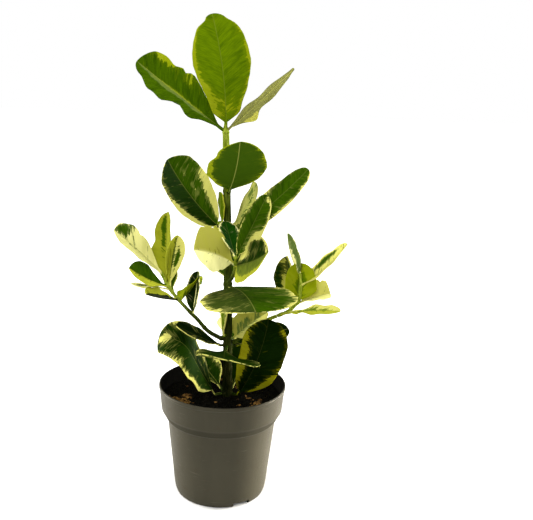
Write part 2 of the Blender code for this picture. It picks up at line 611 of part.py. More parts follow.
def build_boughs_and_shoots():
    left = stem_limb(
        0.2190, 184,
        ((-0.0205, -0.005, 0.2300), (-0.0354, -0.007, 0.2475), (-0.0434, -0.008, 0.2558),
         (-0.0605, -0.010, 0.2753), (-0.0735, -0.010, 0.2927), (-0.0828, -0.008, 0.3108)),
        BOUGH_RADII, 16,
    )
    bough, shoot = split_limb(left, 7)
    points, faces = limb_solid(bough, BOUGH_SIDES)
    make_object("left_bough", points, faces, BARK)
    build_mass("left_shoot", shoot, LEFT_SHOOT_LEAVES, YELLOW_GREEN)

    right = stem_limb(
        0.2140, 8,
        ((0.0349, 0.004, 0.2300), (0.0586, 0.006, 0.2442), (0.0743, 0.007, 0.2509),
         (0.0871, 0.005, 0.2589), (0.0982, 0.003, 0.2735), (0.1002, 0.006, 0.2933),
         (0.0984, 0.010, 0.3090)),
        BOUGH_RADII, 18,
    )
    bough, shoot = split_limb(right, 8)
    points, faces = limb_solid(bough, BOUGH_SIDES)
    make_object("right_bough", points, faces, BARK)
    build_mass("right_shoot", shoot, RIGHT_SHOOT_LEAVES, YELLOW_GREEN)

    front = stem_limb(
        0.2995, 281, ((0.0112, -0.030, 0.3180), (0.0126, -0.0560, 0.3470)), FRONT_SHOOT_RADII, 7,
    )
    build_mass("front_shoot", front, FRONT_SHOOT_LEAVES, DEEP_GREEN)
    back = stem_limb(
        0.3030, 92, ((0.0060, 0.026, 0.3140), (0.0050, 0.0460, 0.3300)), BACK_SHOOT_RADII, 7,
    )
    build_mass("back_shoot", back, BACK_SHOOT_LEAVES, GREEN)

    top = Vector(STEM_TOP)
    crown = [
        (top + Vector((-0.0000, 0.0, CLEAR)), STEM_TOP_RADIUS),
        (top + Vector((-0.0003, 0.0, 0.0055)), 0.0042),
        (top + Vector((-0.0006, 0.0, 0.0100)), 0.0032),
        (top + Vector((-0.0009, 0.0, 0.0145)), 0.0022),
        (top + Vector((-0.0011, -0.0003, 0.0180)), 0.0010),
    ]
    build_mass("top_leaves", crown, TOP_LEAVES, GREEN)


def main():
    clear_scene()
    build_pot()
    build_soil()
    build_stem()
    for name, height, azimuth, neck, colour, leaf in STEM_LEAVES:
        build_stem_leaf(name, height, azimuth, leaf, colour, neck)
    build_boughs_and_shoots()


main()
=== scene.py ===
# %% [markdown]
# # A young variegated clusia in a nursery pot
# The plant is a stem with thick, waxy leaves in crossed pairs, and a side shoot on each hand. The solid
# model that this script loads has every leaf as a plain faceted blade. Here each of them is grown again,
# by the same rule and from the same sizes, as a smooth leaf with a midrib, a rounded margin and the
# green and cream pattern. The lesson goes from the shader helpers to the pot, the peat, the stem, the
# leaves, and last the light and the camera.

# %% Load the fixed frame
import json
import math
from itertools import combinations

import bpy
import numpy as np
from mathutils import Matrix, Vector, noise

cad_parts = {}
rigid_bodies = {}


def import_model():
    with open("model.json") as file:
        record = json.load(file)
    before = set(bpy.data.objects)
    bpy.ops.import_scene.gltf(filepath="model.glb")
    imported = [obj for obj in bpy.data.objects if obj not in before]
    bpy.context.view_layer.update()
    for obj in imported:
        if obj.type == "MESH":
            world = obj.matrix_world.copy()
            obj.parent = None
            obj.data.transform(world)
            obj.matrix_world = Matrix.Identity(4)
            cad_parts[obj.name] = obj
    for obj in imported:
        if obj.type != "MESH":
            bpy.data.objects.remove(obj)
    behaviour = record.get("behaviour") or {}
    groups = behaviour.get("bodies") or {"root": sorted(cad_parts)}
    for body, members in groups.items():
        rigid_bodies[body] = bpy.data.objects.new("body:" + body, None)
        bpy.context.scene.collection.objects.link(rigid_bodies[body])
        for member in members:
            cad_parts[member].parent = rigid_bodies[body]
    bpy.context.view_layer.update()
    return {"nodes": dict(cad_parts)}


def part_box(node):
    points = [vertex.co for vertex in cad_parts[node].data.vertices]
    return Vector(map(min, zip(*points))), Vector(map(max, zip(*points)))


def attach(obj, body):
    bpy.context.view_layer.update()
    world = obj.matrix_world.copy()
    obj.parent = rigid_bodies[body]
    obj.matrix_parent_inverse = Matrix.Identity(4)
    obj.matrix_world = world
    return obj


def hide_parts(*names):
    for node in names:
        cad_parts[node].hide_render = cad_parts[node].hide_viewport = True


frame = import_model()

print("solid parts in the frame:", len(frame["nodes"]))

# %% [markdown]
# ## Shader arithmetic
# A finish is easier to read as arithmetic than as a web of nodes. `Signal` wraps one socket and turns
# each operator into a Math node. `Graph` adds any other node in one call, and `Finish` is the graph of
# one material. Colours never go through a Math node, which would turn them grey: a Mix node blends
# them, and Vector Math scales them.

# %% Signal: one socket with operators
class Signal:
    def __init__(self, graph, socket):
        self.graph = graph
        self.socket = socket

    def math(self, operation, first, second):
        return self.graph.node("Math", {"operation": operation}, {0: first, 1: second})

    def __add__(self, other):
        return self.math("ADD", self, other)

    def __radd__(self, other):
        return self.math("ADD", other, self)

    def __sub__(self, other):
        return self.math("SUBTRACT", self, other)

    def __rsub__(self, other):
        return self.math("SUBTRACT", other, self)

    def __mul__(self, other):
        return self.math("MULTIPLY", self, other)

    def __rmul__(self, other):
        return self.math("MULTIPLY", other, self)


# %% Graph: any node in one call
class Graph:
    def __init__(self, tree):
        self.tree = tree

    def join(self, socket, value):
        if isinstance(value, Signal):
            self.tree.links.new(value.socket, socket)
        else:
            socket.default_value = value

    def node(self, kind, settings, inputs, output=0):
        made = self.tree.nodes.new("ShaderNode" + kind)
        for name, value in settings.items():
            setattr(made, name, value)
        for name, value in inputs.items():
            self.join(made.inputs[name], value)
        return Signal(self, made.outputs[output])

    def attribute(self, name, output="Fac"):
        return self.node("Attribute", {"attribute_name": name}, {}, output)

    def place(self):
        return self.node("TexCoord", {}, {}, "Object")

    def scaled(self, vector, factors):
        return self.node("VectorMath", {"operation": "MULTIPLY"}, {0: vector, 1: factors})

    def noise(self, place, scale, detail=2.0, roughness=0.5):
        """Noise at one scale, or at a scale of its own along each axis."""
        if isinstance(scale, tuple):
            place = self.scaled(place, scale)
            scale = 1.0
        return self.node(
            "TexNoise", {}, {"Vector": place, "Scale": scale, "Detail": detail, "Roughness": roughness}
        )

    def rise(self, value, low, high):
        """0 below low, 1 above high, with a smooth step between them."""
        return self.node(
            "MapRange", {"interpolation_type": "SMOOTHSTEP"},
            {"Value": value, "From Min": low, "From Max": high},
        )

    def blend(self, share, first, second):
        return self.node("Mix", {"data_type": "RGBA"}, {0: share, 6: first, 7: second}, 2)


# %% Finish: one material
class Finish(Graph):
    def __init__(self, name, specular, ior=1.5, tint=(1.0, 1.0, 1.0)):
        self.material = bpy.data.materials.new(name)
        self.material.use_nodes = True
        super().__init__(self.material.node_tree)
        self.shader = self.tree.nodes["Principled BSDF"]
        self.shader.inputs["Specular IOR Level"].default_value = specular
        self.shader.inputs["IOR"].default_value = ior
        self.shader.inputs["Specular Tint"].default_value = (*tint, 1.0)

    def wear(self, colour, roughness, height=None, depth=0.0):
        """What the shader shows: colour, roughness, and relief that is depth metres high."""
        self.join(self.shader.inputs["Base Color"], colour)
        self.join(self.shader.inputs["Roughness"], roughness)
        if height is not None:
            bump = self.node("Bump", {}, {"Strength": 1.0, "Distance": depth, "Height": height})
            self.join(self.shader.inputs["Normal"], bump)


def paint(red, green, blue):
    """A colour given as it looks on screen, from 0 to 255, turned into the shader's linear light."""
    linear = [(c / 255 / 12.92) if c <= 10 else ((c / 255 + 0.055) / 1.055) ** 2.4
              for c in (red, green, blue)]
    return (*linear, 1.0)


BLACK = (0.0, 0.0, 0.0, 1.0)
WHITE = (1.0, 1.0, 1.0, 1.0)
print("mid grey paint is %.3f of full light" % paint(128, 128, 128)[0])

# %% [markdown]
# ## Meshes from arrays
# Every shape here is worked out as arrays of points, so one helper turns points, faces and per-point
# values into an object, hides the solid parts that it replaces, and lets it ride on the only body of the
# part.

# %% A piece from points and faces
LAYER_KINDS = {1: ("FLOAT", "value"), 3: ("FLOAT_VECTOR", "vector"), 4: ("FLOAT_COLOR", "color")}


def make_piece(name, points, faces, material, nodes=(), fields=None):
    mesh = bpy.data.meshes.new(name)
    mesh.from_pydata(np.asarray(points, float).tolist(), [], faces)
    mesh.materials.append(material)
    for field, values in (fields or {}).items():
        values = np.asarray(values, float)
        kind, key = LAYER_KINDS[values.size // len(values)]
        mesh.attributes.new(field, kind, "POINT").data.foreach_set(key, values.ravel())
    mesh.shade_smooth()
    piece = bpy.data.objects.new(name, mesh)
    bpy.context.scene.collection.objects.link(piece)
    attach(piece, "root")
    if nodes:
        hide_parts(*nodes)
    return piece


def ring_faces(rings, sides):
    """Quads between closed rings of points that are stored one after another."""
    faces = []
    for ring in range(rings - 1):
        for side in range(sides):
            after = (side + 1) % sides
            low = ring * sides
            high = low + sides
            faces.append((low + side, low + after, high + after, high + side))
    return faces


def end_faces(rings, sides):
    """One face over the last ring and one over the first."""
    last = (rings - 1) * sides
    return [tuple(range(last, last + sides)), tuple(reversed(range(sides)))]


def bell(distance, reach):
    """1 at no distance, falling smoothly to nothing beyond the reach."""
    return np.exp(-((distance / reach) ** 2))


# %% [markdown]
# ## The pot
# The pot is a thin injection-moulded one: a tapered body, a shoulder, and a taller collar with a rolled
# rim. A turned profile gives all of it. The solid has forty flats round it, which show at the rim, so a
# finer one stands for it, with the bends of the profile rounded into short arcs.

# %% The pot's outline, measured from the solid
POT_LOW, POT_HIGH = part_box("pot")
POT_HEIGHT = POT_HIGH[2] - POT_LOW[2]
RIM_RADIUS = 0.5 * (POT_HIGH[0] - POT_LOW[0])
WALL = 0.0022
RIM_WIDTH = 0.0030
COLLAR_FOOT = (0.0815, 0.1215)
BODY_TOP = (0.0728, 0.1080)
BODY_FOOT = (0.0630, 0.0120)
BASE_RADIUS = 0.0577
FLOOR_THICKNESS = 0.0040
POT_SIDES = 160
print("pot: %.1f mm high, %.1f mm across" % (POT_HEIGHT * 1000, RIM_RADIUS * 2000))


# %% Rounded corners for a profile
MOST_OF_SIDE = 0.45
ON_AXIS = 1e-6


def rounded(corners, steps=4):
    """Swaps each corner (radius, height, round) for a short curve of that reach."""
    outline = []
    count = len(corners)
    for k in range(count):
        here = np.array(corners[k][:2])
        reach = corners[k][2]
        if reach == 0.0:
            outline.append(tuple(here))
            continue
        before = np.array(corners[k - 1][:2]) - here
        after = np.array(corners[(k + 1) % count][:2]) - here
        start, end = [
            here + side / np.linalg.norm(side) * min(reach, MOST_OF_SIDE * np.linalg.norm(side))
            for side in (before, after)
        ]
        for t in np.linspace(0.0, 1.0, steps):
            outline.append(tuple((1 - t) ** 2 * start + 2 * t * (1 - t) * here + t * t * end))
    return outline


def turned(outline, sides):
    """Turns a closed outline of (radius, height) around Z; points on the axis become one point."""
    angles = np.arange(sides) * 2.0 * math.pi / sides
    points = []
    rings = []
    for radius, height in outline:
        if radius < ON_AXIS:
            rings.append([len(points)] * sides)
            points.append((0.0, 0.0, height))
        else:
            rings.append(list(range(len(points), len(points) + sides)))
            points += [(radius * math.cos(a), radius * math.sin(a), height) for a in angles]
    faces = []
    for low, high in zip(rings, rings[1:] + rings[:1]):
        if low[0] == low[1] and high[0] == high[1]:
            continue
        for k in range(sides):
            after = (k + 1) % sides
            faces.append(tuple(dict.fromkeys((low[k], low[after], high[after], high[k]))))
    return points, faces


# %% [markdown]
# The plastic is a dull warm grey. It has a very fine moulded grain, faint upright flow marks, a little
# dust from the peat, and rubbed places where pots have been stacked. Painted shade makes it darker under
# the collar, and painted shade makes it nearly black inside, where little light comes.

# %% Recycled plastic
plastic = Finish("pot_plastic", specular=0.22, ior=1.3, tint=(1.0, 0.90, 0.72))
where = plastic.place()
cloud = plastic.noise(where, 26.0, 4.0)
flow = plastic.noise(where, (130.0, 130.0, 9.0), 3.0)
grain = plastic.noise(where, 1500.0)
scuff = plastic.rise(plastic.noise(where, (40.0, 40.0, 420.0), 3.0), 0.66, 0.74)
dust = plastic.rise(plastic.noise(where, 75.0, 5.0, 0.65), 0.55, 0.80)
outward = plastic.node("VectorMath", {"operation": "DOT_PRODUCT"}, {
    0: plastic.scaled(where, (1.0, 1.0, 0.0)),
    1: plastic.node("NewGeometry", {}, {}, "Normal"),
}, "Value")
inside = 1.0 - plastic.rise(outward, -0.012, 0.0)
height = plastic.node("SeparateXYZ", {}, {"Vector": where}, "Z")
# The band under the collar, where shade is painted into the plastic's colour
over_shoulder = plastic.rise(height, BODY_TOP[1] - 0.0005, BODY_TOP[1] + 0.0020)
over_step = plastic.rise(height, COLLAR_FOOT[1] - 0.0050, COLLAR_FOOT[1])
painted_collar_shade = over_shoulder * (1.0 - over_step)
grey = plastic.blend(cloud * 0.6 + flow * 0.4, paint(51, 49, 39), paint(62, 59, 47))
grey = plastic.blend(scuff * 0.22, grey, paint(98, 93, 80))
# Painted shade: the band under the collar is darkened as if the collar shaded it
grey = plastic.blend(painted_collar_shade * 0.40, grey, paint(30, 29, 22))
# Painted shade: the inner wall is painted nearly black, where little light comes in
grey = plastic.blend(inside, grey, paint(4, 4, 2))
grey = plastic.blend(dust * (1.0 - inside) * 0.25, grey, paint(60, 48, 36))
dullness = 0.44 + flow * 0.12 + dust * 0.12 + inside * 0.5 + painted_collar_shade * 0.35
plastic.wear(grey, dullness, grain * 0.5 + flow * 0.5, 0.00025)
print("plastic nodes:", len(plastic.tree.nodes))

# %% Turn the pot
profile = rounded([
    (0.0, 0.0, 0.0),
    (0.0300, 0.0, 0.0),
    (0.0320, 0.0012, 0.0),
    (0.0480, 0.0012, 0.0),
    (0.0500, 0.0, 0.0006),
    (BASE_RADIUS + 0.0014, 0.0, 0.0020),
    (BASE_RADIUS + 0.0040, BODY_FOOT[1] * 0.55, 0.0040),
    (BODY_FOOT[0], BODY_FOOT[1] + 0.0040, 0.0060),
    (BODY_TOP[0], BODY_TOP[1] - 0.0006, 0.0020),
    (BODY_TOP[0] + 0.0022, BODY_TOP[1] + 0.0016, 0.0008),
    (COLLAR_FOOT[0] - 0.0002, COLLAR_FOOT[1] - 0.0004, 0.0012),
    (RIM_RADIUS - 0.0010, POT_HEIGHT - 0.0052, 0.0008),
    (RIM_RADIUS, POT_HEIGHT - 0.0042, 0.0008),
    (RIM_RADIUS, POT_HEIGHT, 0.0016),
    (RIM_RADIUS - RIM_WIDTH, POT_HEIGHT, 0.0012),
    (COLLAR_FOOT[0] - WALL, COLLAR_FOOT[1] + 0.0010, 0.0020),
    (BODY_TOP[0] - WALL, BODY_TOP[1] - 0.0020, 0.0020),
    (BODY_FOOT[0] - WALL, BODY_FOOT[1], 0.0030),
    (BASE_RADIUS - WALL, FLOOR_THICKNESS, 0.0010),
    (0.0, FLOOR_THICKNESS, 0.0),
])
points, faces = turned(profile, POT_SIDES)
pot = make_piece("nursery_pot", points, faces, plastic.material, ["pot"])
print("points on the pot's profile:", len(profile))

# %% Cut its drain slots
SLOT_AZIMUTHS = (-61.0, 59.0, 179.0)
SLOT_WIDTH = 0.0240
SLOT_HEIGHT = 0.0060
SLOT_INNER_RADIUS = 0.0490
SHARP_FROM = math.radians(38.0)


def cut_slots(target):
    half = Vector((0.5 * (BODY_FOOT[0] - SLOT_INNER_RADIUS), 0.5 * SLOT_WIDTH, SLOT_HEIGHT))
    cutters = bpy.data.collections.new("slots")
    bpy.context.scene.collection.children.link(cutters)
    corners = [Vector((x, y, z)) * half for x in (-1, 1) for y in (-1, 1) for z in (-1, 1)]
    sheets = [(0, 1, 3, 2), (4, 6, 7, 5), (0, 4, 5, 1), (2, 3, 7, 6), (0, 2, 6, 4), (1, 5, 7, 3)]
    for azimuth in SLOT_AZIMUTHS:
        mesh = bpy.data.meshes.new("slot")
        mesh.from_pydata(corners, [], sheets)
        turn = Matrix.Rotation(math.radians(azimuth), 4, "Z")
        mesh.transform(turn @ Matrix.Translation((SLOT_INNER_RADIUS + half.x, 0.0, 0.0)))
        cutters.objects.link(bpy.data.objects.new("slot", mesh))
    cut = target.modifiers.new("slots", "BOOLEAN")
    cut.operand_type = "COLLECTION"
    cut.collection = cutters
    graph = bpy.context.evaluated_depsgraph_get()
    done = bpy.data.meshes.new_from_object(target.evaluated_get(graph))
    target.modifiers.clear()
    target.data = done
    for cutter in list(cutters.objects):
        bpy.data.objects.remove(cutter, do_unlink=True)
    bpy.data.collections.remove(cutters)


cut_slots(pot)
pot.data.shade_smooth()
pot.data.set_sharp_from_angle(angle=SHARP_FROM)
print("pot faces:", len(pot.data.polygons))

# %% [markdown]
# ## The peat
# A nursery mix is dark, damp and crumbly, with bits of bark lying on it. The block that fills the pot
# keeps its outline from the solid, and its top is a fine polar grid pushed up and down by noise. On it
# lie over a thousand crumbs and some bark chips: small rough lumps, joined into one mesh a kind.

# %% Peat and bark finishes
peat = Finish("damp_peat", specular=0.03)
where = peat.place()
lumps = peat.noise(where, 260.0, 6.0, 0.7)
fibre = peat.noise(where, 900.0, 4.0, 0.6)
brown = peat.blend(peat.rise(lumps, 0.35, 0.72), paint(3, 4, 2), paint(16, 13, 6))
brown = peat.blend(peat.rise(fibre, 0.62, 0.75) * 0.5, brown, paint(54, 42, 20))
peat.wear(brown, 0.7 + lumps * 0.25, lumps * 0.7 + fibre * 0.3, 0.0012)

bark = Finish("bark_chip", specular=0.05)
where = bark.place()
layers = bark.noise(where, (250.0, 90.0, 500.0), 4.0)
patch = bark.noise(where, 70.0, 3.0)
brown = bark.blend(bark.rise(layers, 0.38, 0.62), paint(66, 42, 16), paint(142, 106, 54))
brown = bark.blend(bark.rise(patch, 0.52, 0.66), brown, paint(36, 24, 10))
bark.wear(brown, 0.6 + layers * 0.3, layers, 0.0006)
print("peat and bark nodes:", len(peat.tree.nodes) + len(bark.tree.nodes))

# %% The peat block with its crumbly top
SOIL_LOW, SOIL_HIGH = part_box("substrate")
SOIL_HEIGHT = SOIL_HIGH[2]
SOIL_RADIUS = 0.5 * (SOIL_HIGH[0] - SOIL_LOW[0])
PEAT_SIDES = 180
PEAT_RINGS = 64
PEAT_SINK = 0.0004
WALL_DROP = 0.0022
WALL_DROP_FROM = 0.9
GROUND_WAVES = ((0.0016, 38.0, 3.1), (0.0011, 190.0, 7.7), (0.0006, 520.0, 1.0))


def peat_height(x, y):
    """The ground under a point of the peat: soft mounds, then crumbs, lower along the wall."""
    ground = SOIL_HEIGHT - PEAT_SINK
    for high, scale, level in GROUND_WAVES:
        ground += high * noise.noise((x * scale, y * scale, level))
    out = math.hypot(x, y) / SOIL_RADIUS
    return ground - WALL_DROP * max(0.0, out - WALL_DROP_FROM) / (1.0 - WALL_DROP_FROM)


def build_peat():
    wall = [
        (BASE_RADIUS - WALL - 0.0006, FLOOR_THICKNESS + 0.0003),
        (BODY_FOOT[0] - WALL - 0.0005, BODY_FOOT[1]),
        (BODY_TOP[0] - WALL - 0.0005, BODY_TOP[1] - 0.0018),
        (COLLAR_FOOT[0] - WALL - 0.0005, COLLAR_FOOT[1] + 0.0018),
        (SOIL_RADIUS, SOIL_HEIGHT - 0.0030),
    ]
    angles = np.arange(PEAT_SIDES) * 2.0 * math.pi / PEAT_SIDES
    points = [(r * math.cos(a), r * math.sin(a), z) for r, z in wall for a in angles]
    for ring in range(PEAT_RINGS):
        radius = SOIL_RADIUS * (1.0 - (ring + 0.02) / PEAT_RINGS)
        for a in angles:
            x, y = radius * math.cos(a), radius * math.sin(a)
            points.append((x, y, peat_height(x, y)))
    rings = len(wall) + PEAT_RINGS
    faces = ring_faces(rings, PEAT_SIDES) + end_faces(rings, PEAT_SIDES)
    make_piece("peat_block", points, faces, peat.material, ["substrate"])


build_peat()
print("peat top at %.1f mm" % (SOIL_HEIGHT * 1000))

# %% A rough lump
GOLDEN = 0.5 * (1.0 + math.sqrt(5.0))
ICOSAHEDRON = []
for a in (-1.0, 1.0):
    for b in (-GOLDEN, GOLDEN):
        ICOSAHEDRON += [(0.0, a, b), (a, b, 0.0), (b, 0.0, a)]
ICOSAHEDRON = np.array(ICOSAHEDRON) / math.sqrt(1.0 + GOLDEN * GOLDEN)
CORNERS = len(ICOSAHEDRON)
EDGE_LIMIT = 1.1


def hull_faces(points):
    """Triangles of the icosahedron: every three corners that are all one edge apart."""
    faces = []
    for i, j, k in combinations(range(CORNERS), 3):
        a, b, c = points[i], points[j], points[k]
        if max(np.linalg.norm(side) for side in (a - b, b - c, c - a)) < EDGE_LIMIT:
            outward = np.dot(np.cross(b - a, c - a), a) > 0.0
            faces.append((i, j, k) if outward else (i, k, j))
    return faces


def rough_lump(rng, unevenness, breadths, flatness):
    """An icosahedron with uneven corners, squashed along two of its axes."""
    lump = ICOSAHEDRON * (1.0 + rng.uniform(-unevenness, unevenness, (CORNERS, 1)))
    return lump * np.array((1.0, rng.uniform(*breadths), flatness))


LUMP_FACES = hull_faces(ICOSAHEDRON)
print("triangles on a lump:", len(LUMP_FACES))

# %% Crumbs and bark chips
WALL_CLEARING = 0.004
STEM_CLEARING = (0.0066, 0.009)
LUMP_LIFT = 0.25
CRUMB_SHAPE = (0.25, (0.5, 0.9))
CHIP_SHAPE = (0.3, (0.45, 0.8))
CHIP_FLATNESS = 0.5
CHIP_TILT = 0.35


def scatter_lumps(name, count, material, sizes, flatness, clusters, seed):
    """Joins many rough lumps that lie on the peat. clusters are (x, y, reach, share of the lumps)."""
    rng = np.random.default_rng(seed)
    points = []
    faces = []
    for _ in range(count):
        pick = rng.random()
        x = y = math.inf
        for cx, cy, reach, share in clusters:
            if pick < share:
                x, y = rng.normal(cx, reach), rng.normal(cy, reach)
                break
            pick -= share
        by_wall = math.hypot(x, y) > SOIL_RADIUS - WALL_CLEARING
        by_stem = math.hypot(x - STEM_CLEARING[0], y) < STEM_CLEARING[1]
        if by_wall or by_stem:
            continue
        size = rng.uniform(*sizes)
        axes = np.linalg.qr(rng.normal(size=(3, 3)))[0]
        lump = rough_lump(rng, *CRUMB_SHAPE, flatness) @ axes
        if flatness < CHIP_FLATNESS:
            # A flat chip lies down instead: it is only spun, and tilted a little
            tilt = rng.normal(0.0, CHIP_TILT, 2)[0]
            turn = rng.uniform(0.0, 2.0 * math.pi)
            spin = np.array(Matrix.Rotation(turn, 3, "Z") @ Matrix.Rotation(tilt, 3, "X"))
            lump = rough_lump(rng, *CHIP_SHAPE, flatness) @ spin.T
        lump = lump * size + np.array((x, y, peat_height(x, y) + LUMP_LIFT * size * flatness))
        faces += [tuple(len(points) + i for i in face) for face in LUMP_FACES]
        points += lump.tolist()
    piece = make_piece(name, points, faces, material)
    piece.data.shade_flat()
    return len(points) // CORNERS


EVERYWHERE = (0.0, 0.0, 0.042, 1.0)
BARK_CLUSTERS = ((-0.056, -0.018, 0.008, 0.34), (0.050, -0.028, 0.010, 0.30), (0.0, 0.0, 0.045, 0.36))
crumbs = scatter_lumps("peat_crumbs", 1500, peat.material, (0.0007, 0.0024), 0.8, (EVERYWHERE,), 11)
chips = scatter_lumps("bark_chips", 84, bark.material, (0.0020, 0.0058), 0.35, BARK_CLUSTERS, 23)
print("on the peat:", crumbs, "crumbs and", chips, "chips")

# %% [markdown]
# ## Limbs
# The stem and its boughs are young green wood: slightly ribbed, with a swollen joint wherever a pair of
# leaves stands or has dropped. A limb is a tube along a curve, and its radius may change with the
# distance and the direction round it, which is what makes ribs, joints and leaf scars real relief.

# %% Curves, and the stem's own axis
CLEAR = 0.0003
STEM_FOOT = (0.0066, 0.0, SOIL_HEIGHT + CLEAR)
STEM_TOP = (-0.0032, 0.0, 0.4870)
STEM_BOW = 0.0016
STEM_FOOT_RADIUS = 0.0068
STEM_TOP_RADIUS = 0.0042
STEM_TAPER = 0.8
ROOT_FLARE = 0.0012
FLARE_HEIGHT = 0.0120
NECK_RADIUS = 0.0019
LEVEL_STRETCH = 0.0030
BOUGH_RADII = (0.0029, 0.0019)


def spline(knots, share):
    """A smooth curve through the knots, met at equal shares of the whole."""
    spans = len(knots) - 1
    index = min(int(share * spans), spans - 1)
    t = share * spans - index
    b = Vector(knots[index])
    c = Vector(knots[index + 1])
    a = Vector(knots[index - 1]) if index > 0 else b * 2.0 - c
    d = Vector(knots[index + 2]) if index + 2 <= spans else c * 2.0 - b
    return 0.5 * (
        b * 2.0 + (c - a) * t + (a * 2.0 - b * 5.0 + c * 4.0 - d) * t * t
        + (b * 3.0 - a - c * 3.0 + d) * t * t * t
    )


def stem_axis(height):
    share = (height - STEM_FOOT[2]) / (STEM_TOP[2] - STEM_FOOT[2])
    x = STEM_FOOT[0] + (STEM_TOP[0] - STEM_FOOT[0]) * share
    return Vector((x + STEM_BOW * math.sin(math.pi * min(max(share, 0.0), 1.0)), 0.0, height))


def stem_radius(height):
    share = max(0.0, (height - STEM_FOOT[2]) / (STEM_TOP[2] - STEM_FOOT[2]))
    flare = ROOT_FLARE * max(0.0, 1.0 - (height - STEM_FOOT[2]) / FLARE_HEIGHT) ** 2
    return STEM_FOOT_RADIUS + (STEM_TOP_RADIUS - STEM_FOOT_RADIUS) * share ** STEM_TAPER + flare


def stem_foothold(height, azimuth, reach=0.0):
    """A place just off the side of the stem, in the direction that a leaf or a limb leaves it."""
    turn = math.radians(azimuth)
    outward = Vector((math.cos(turn), math.sin(turn), 0.0))
    return stem_axis(height) + outward * (stem_radius(height - NECK_RADIUS) + CLEAR + reach)


def stem_limb(height, azimuth, knots, radii, steps):
    """The source's limb: level out of the stem, then through the knots, as (place, radius)."""
    start = stem_foothold(height, azimuth, LEVEL_STRETCH)
    path = [(stem_foothold(height, azimuth), radii[0])]
    for k in range(steps + 1):
        share = k / steps
        path.append((spline([start] + list(knots), share), radii[0] + (radii[1] - radii[0]) * share))
    return path


# %% A tube with relief
def tube(path, sides, rings, relief=lambda share, turn: 0.0, youth=(0.0, 1.0), closed=True):
    """Points, faces and youth of a limb. relief(share, turn) is added to the radius, in metres."""
    places = [place for place, _ in path]
    along = np.cumsum([0.0] + [(b - a).length for a, b in zip(places, places[1:])])
    along = along / along[-1]
    shares = np.linspace(0.0, 1.0, rings)
    radii = np.interp(shares, along, [radius for _, radius in path])
    if len(places) > 3:
        knots = np.interp(shares, along, np.linspace(0.0, 1.0, len(places)))
        centres = np.array([tuple(spline(places, knot)) for knot in knots.tolist()])
    else:
        centres = np.array([np.interp(shares, along, axis) for axis in np.array(places).T]).T
    spread = np.abs(np.diff(centres, axis=0)).sum(axis=0)
    reference = np.eye(3)[int(np.argmin(spread))]
    points = []
    for k, share in enumerate(shares):
        ahead = centres[min(k + 1, rings - 1)] - centres[max(k - 1, 0)]
        ahead = ahead / np.linalg.norm(ahead)
        side = np.cross(ahead, reference)
        side = side / np.linalg.norm(side)
        other = np.cross(ahead, side)
        for s in range(sides):
            turn = 2.0 * math.pi * s / sides
            reach = radii[k] + relief(share, turn)
            points.append(centres[k] + (side * math.cos(turn) + other * math.sin(turn)) * reach)
    faces = ring_faces(rings, sides)
    if closed:
        faces += end_faces(rings, sides)
    return points, faces, np.repeat(youth[0] + (youth[1] - youth[0]) * shares, sides)


# %% [markdown]
# The skin of the stem is dark green below, where it is turning to bark, with painted shade that makes the
# foot nearly black, and bright green at the tip.
# Fine upright ribs and pale corky flecks break it up. How young a stretch is comes from a value stored
# on its points, so one finish serves every limb.

# %% Green bark
rind = Finish("green_bark", specular=0.03, ior=1.15)
where = rind.place()
young = rind.attribute("youth")
ribs = rind.noise(where, (900.0, 900.0, 55.0), 3.0)
blotch = rind.noise(where, (140.0, 140.0, 70.0), 4.0)
flecks = rind.rise(rind.noise(where, (700.0, 700.0, 1600.0)), 0.64, 0.72)
ridges = rind.rise(ribs, 0.35, 0.65)
# Partly painted shade: the old green at the foot is nearly black, as dark as the shaded foot of the stem
old_and_shaded_green = rind.blend(rind.rise(blotch, 0.4, 0.62), paint(8, 15, 2), paint(26, 29, 8))
old_and_shaded_green = rind.blend(rind.rise(ribs, 0.52, 0.7) * 0.6, old_and_shaded_green, paint(44, 44, 16))
mid_green = rind.blend(ridges, paint(34, 46, 8), paint(68, 80, 22))
new_green = rind.blend(ridges, paint(100, 116, 16), paint(158, 172, 60))
green = rind.blend(rind.rise(young, 0.05, 0.42), old_and_shaded_green, mid_green)
green = rind.blend(rind.rise(young, 0.50, 0.80), green, new_green)
green = rind.blend(flecks * 0.16, green, paint(150, 146, 92))
rind.wear(green, 0.42 + ribs * 0.2, ribs * 0.7 + blotch * 0.3, 0.00035)
print("green bark nodes:", len(rind.tree.nodes))

# %% Relief of the stem and of thin limbs
PAIR_HEIGHTS = (0.1403, 0.1760, 0.2100, 0.2200, 0.2560, 0.2940, 0.3340, 0.3680, 0.4180, 0.4560)
JOINT_SWELL = 0.0007
JOINT_REACH = 0.0026
MOST_JOINT = 1.2
JOINT_OVAL = 0.3
GROOVE_RISE = 0.0042
GROOVE_REACH = 0.0008
GROOVE_DEPTH = 0.0003
RIB_COUNT = 7.0
RIB_DEPTH = 0.00018
RIB_WANDER = 4.2
STEM_LUMPS = 0.00022
LIMB_LUMPS = 0.00012


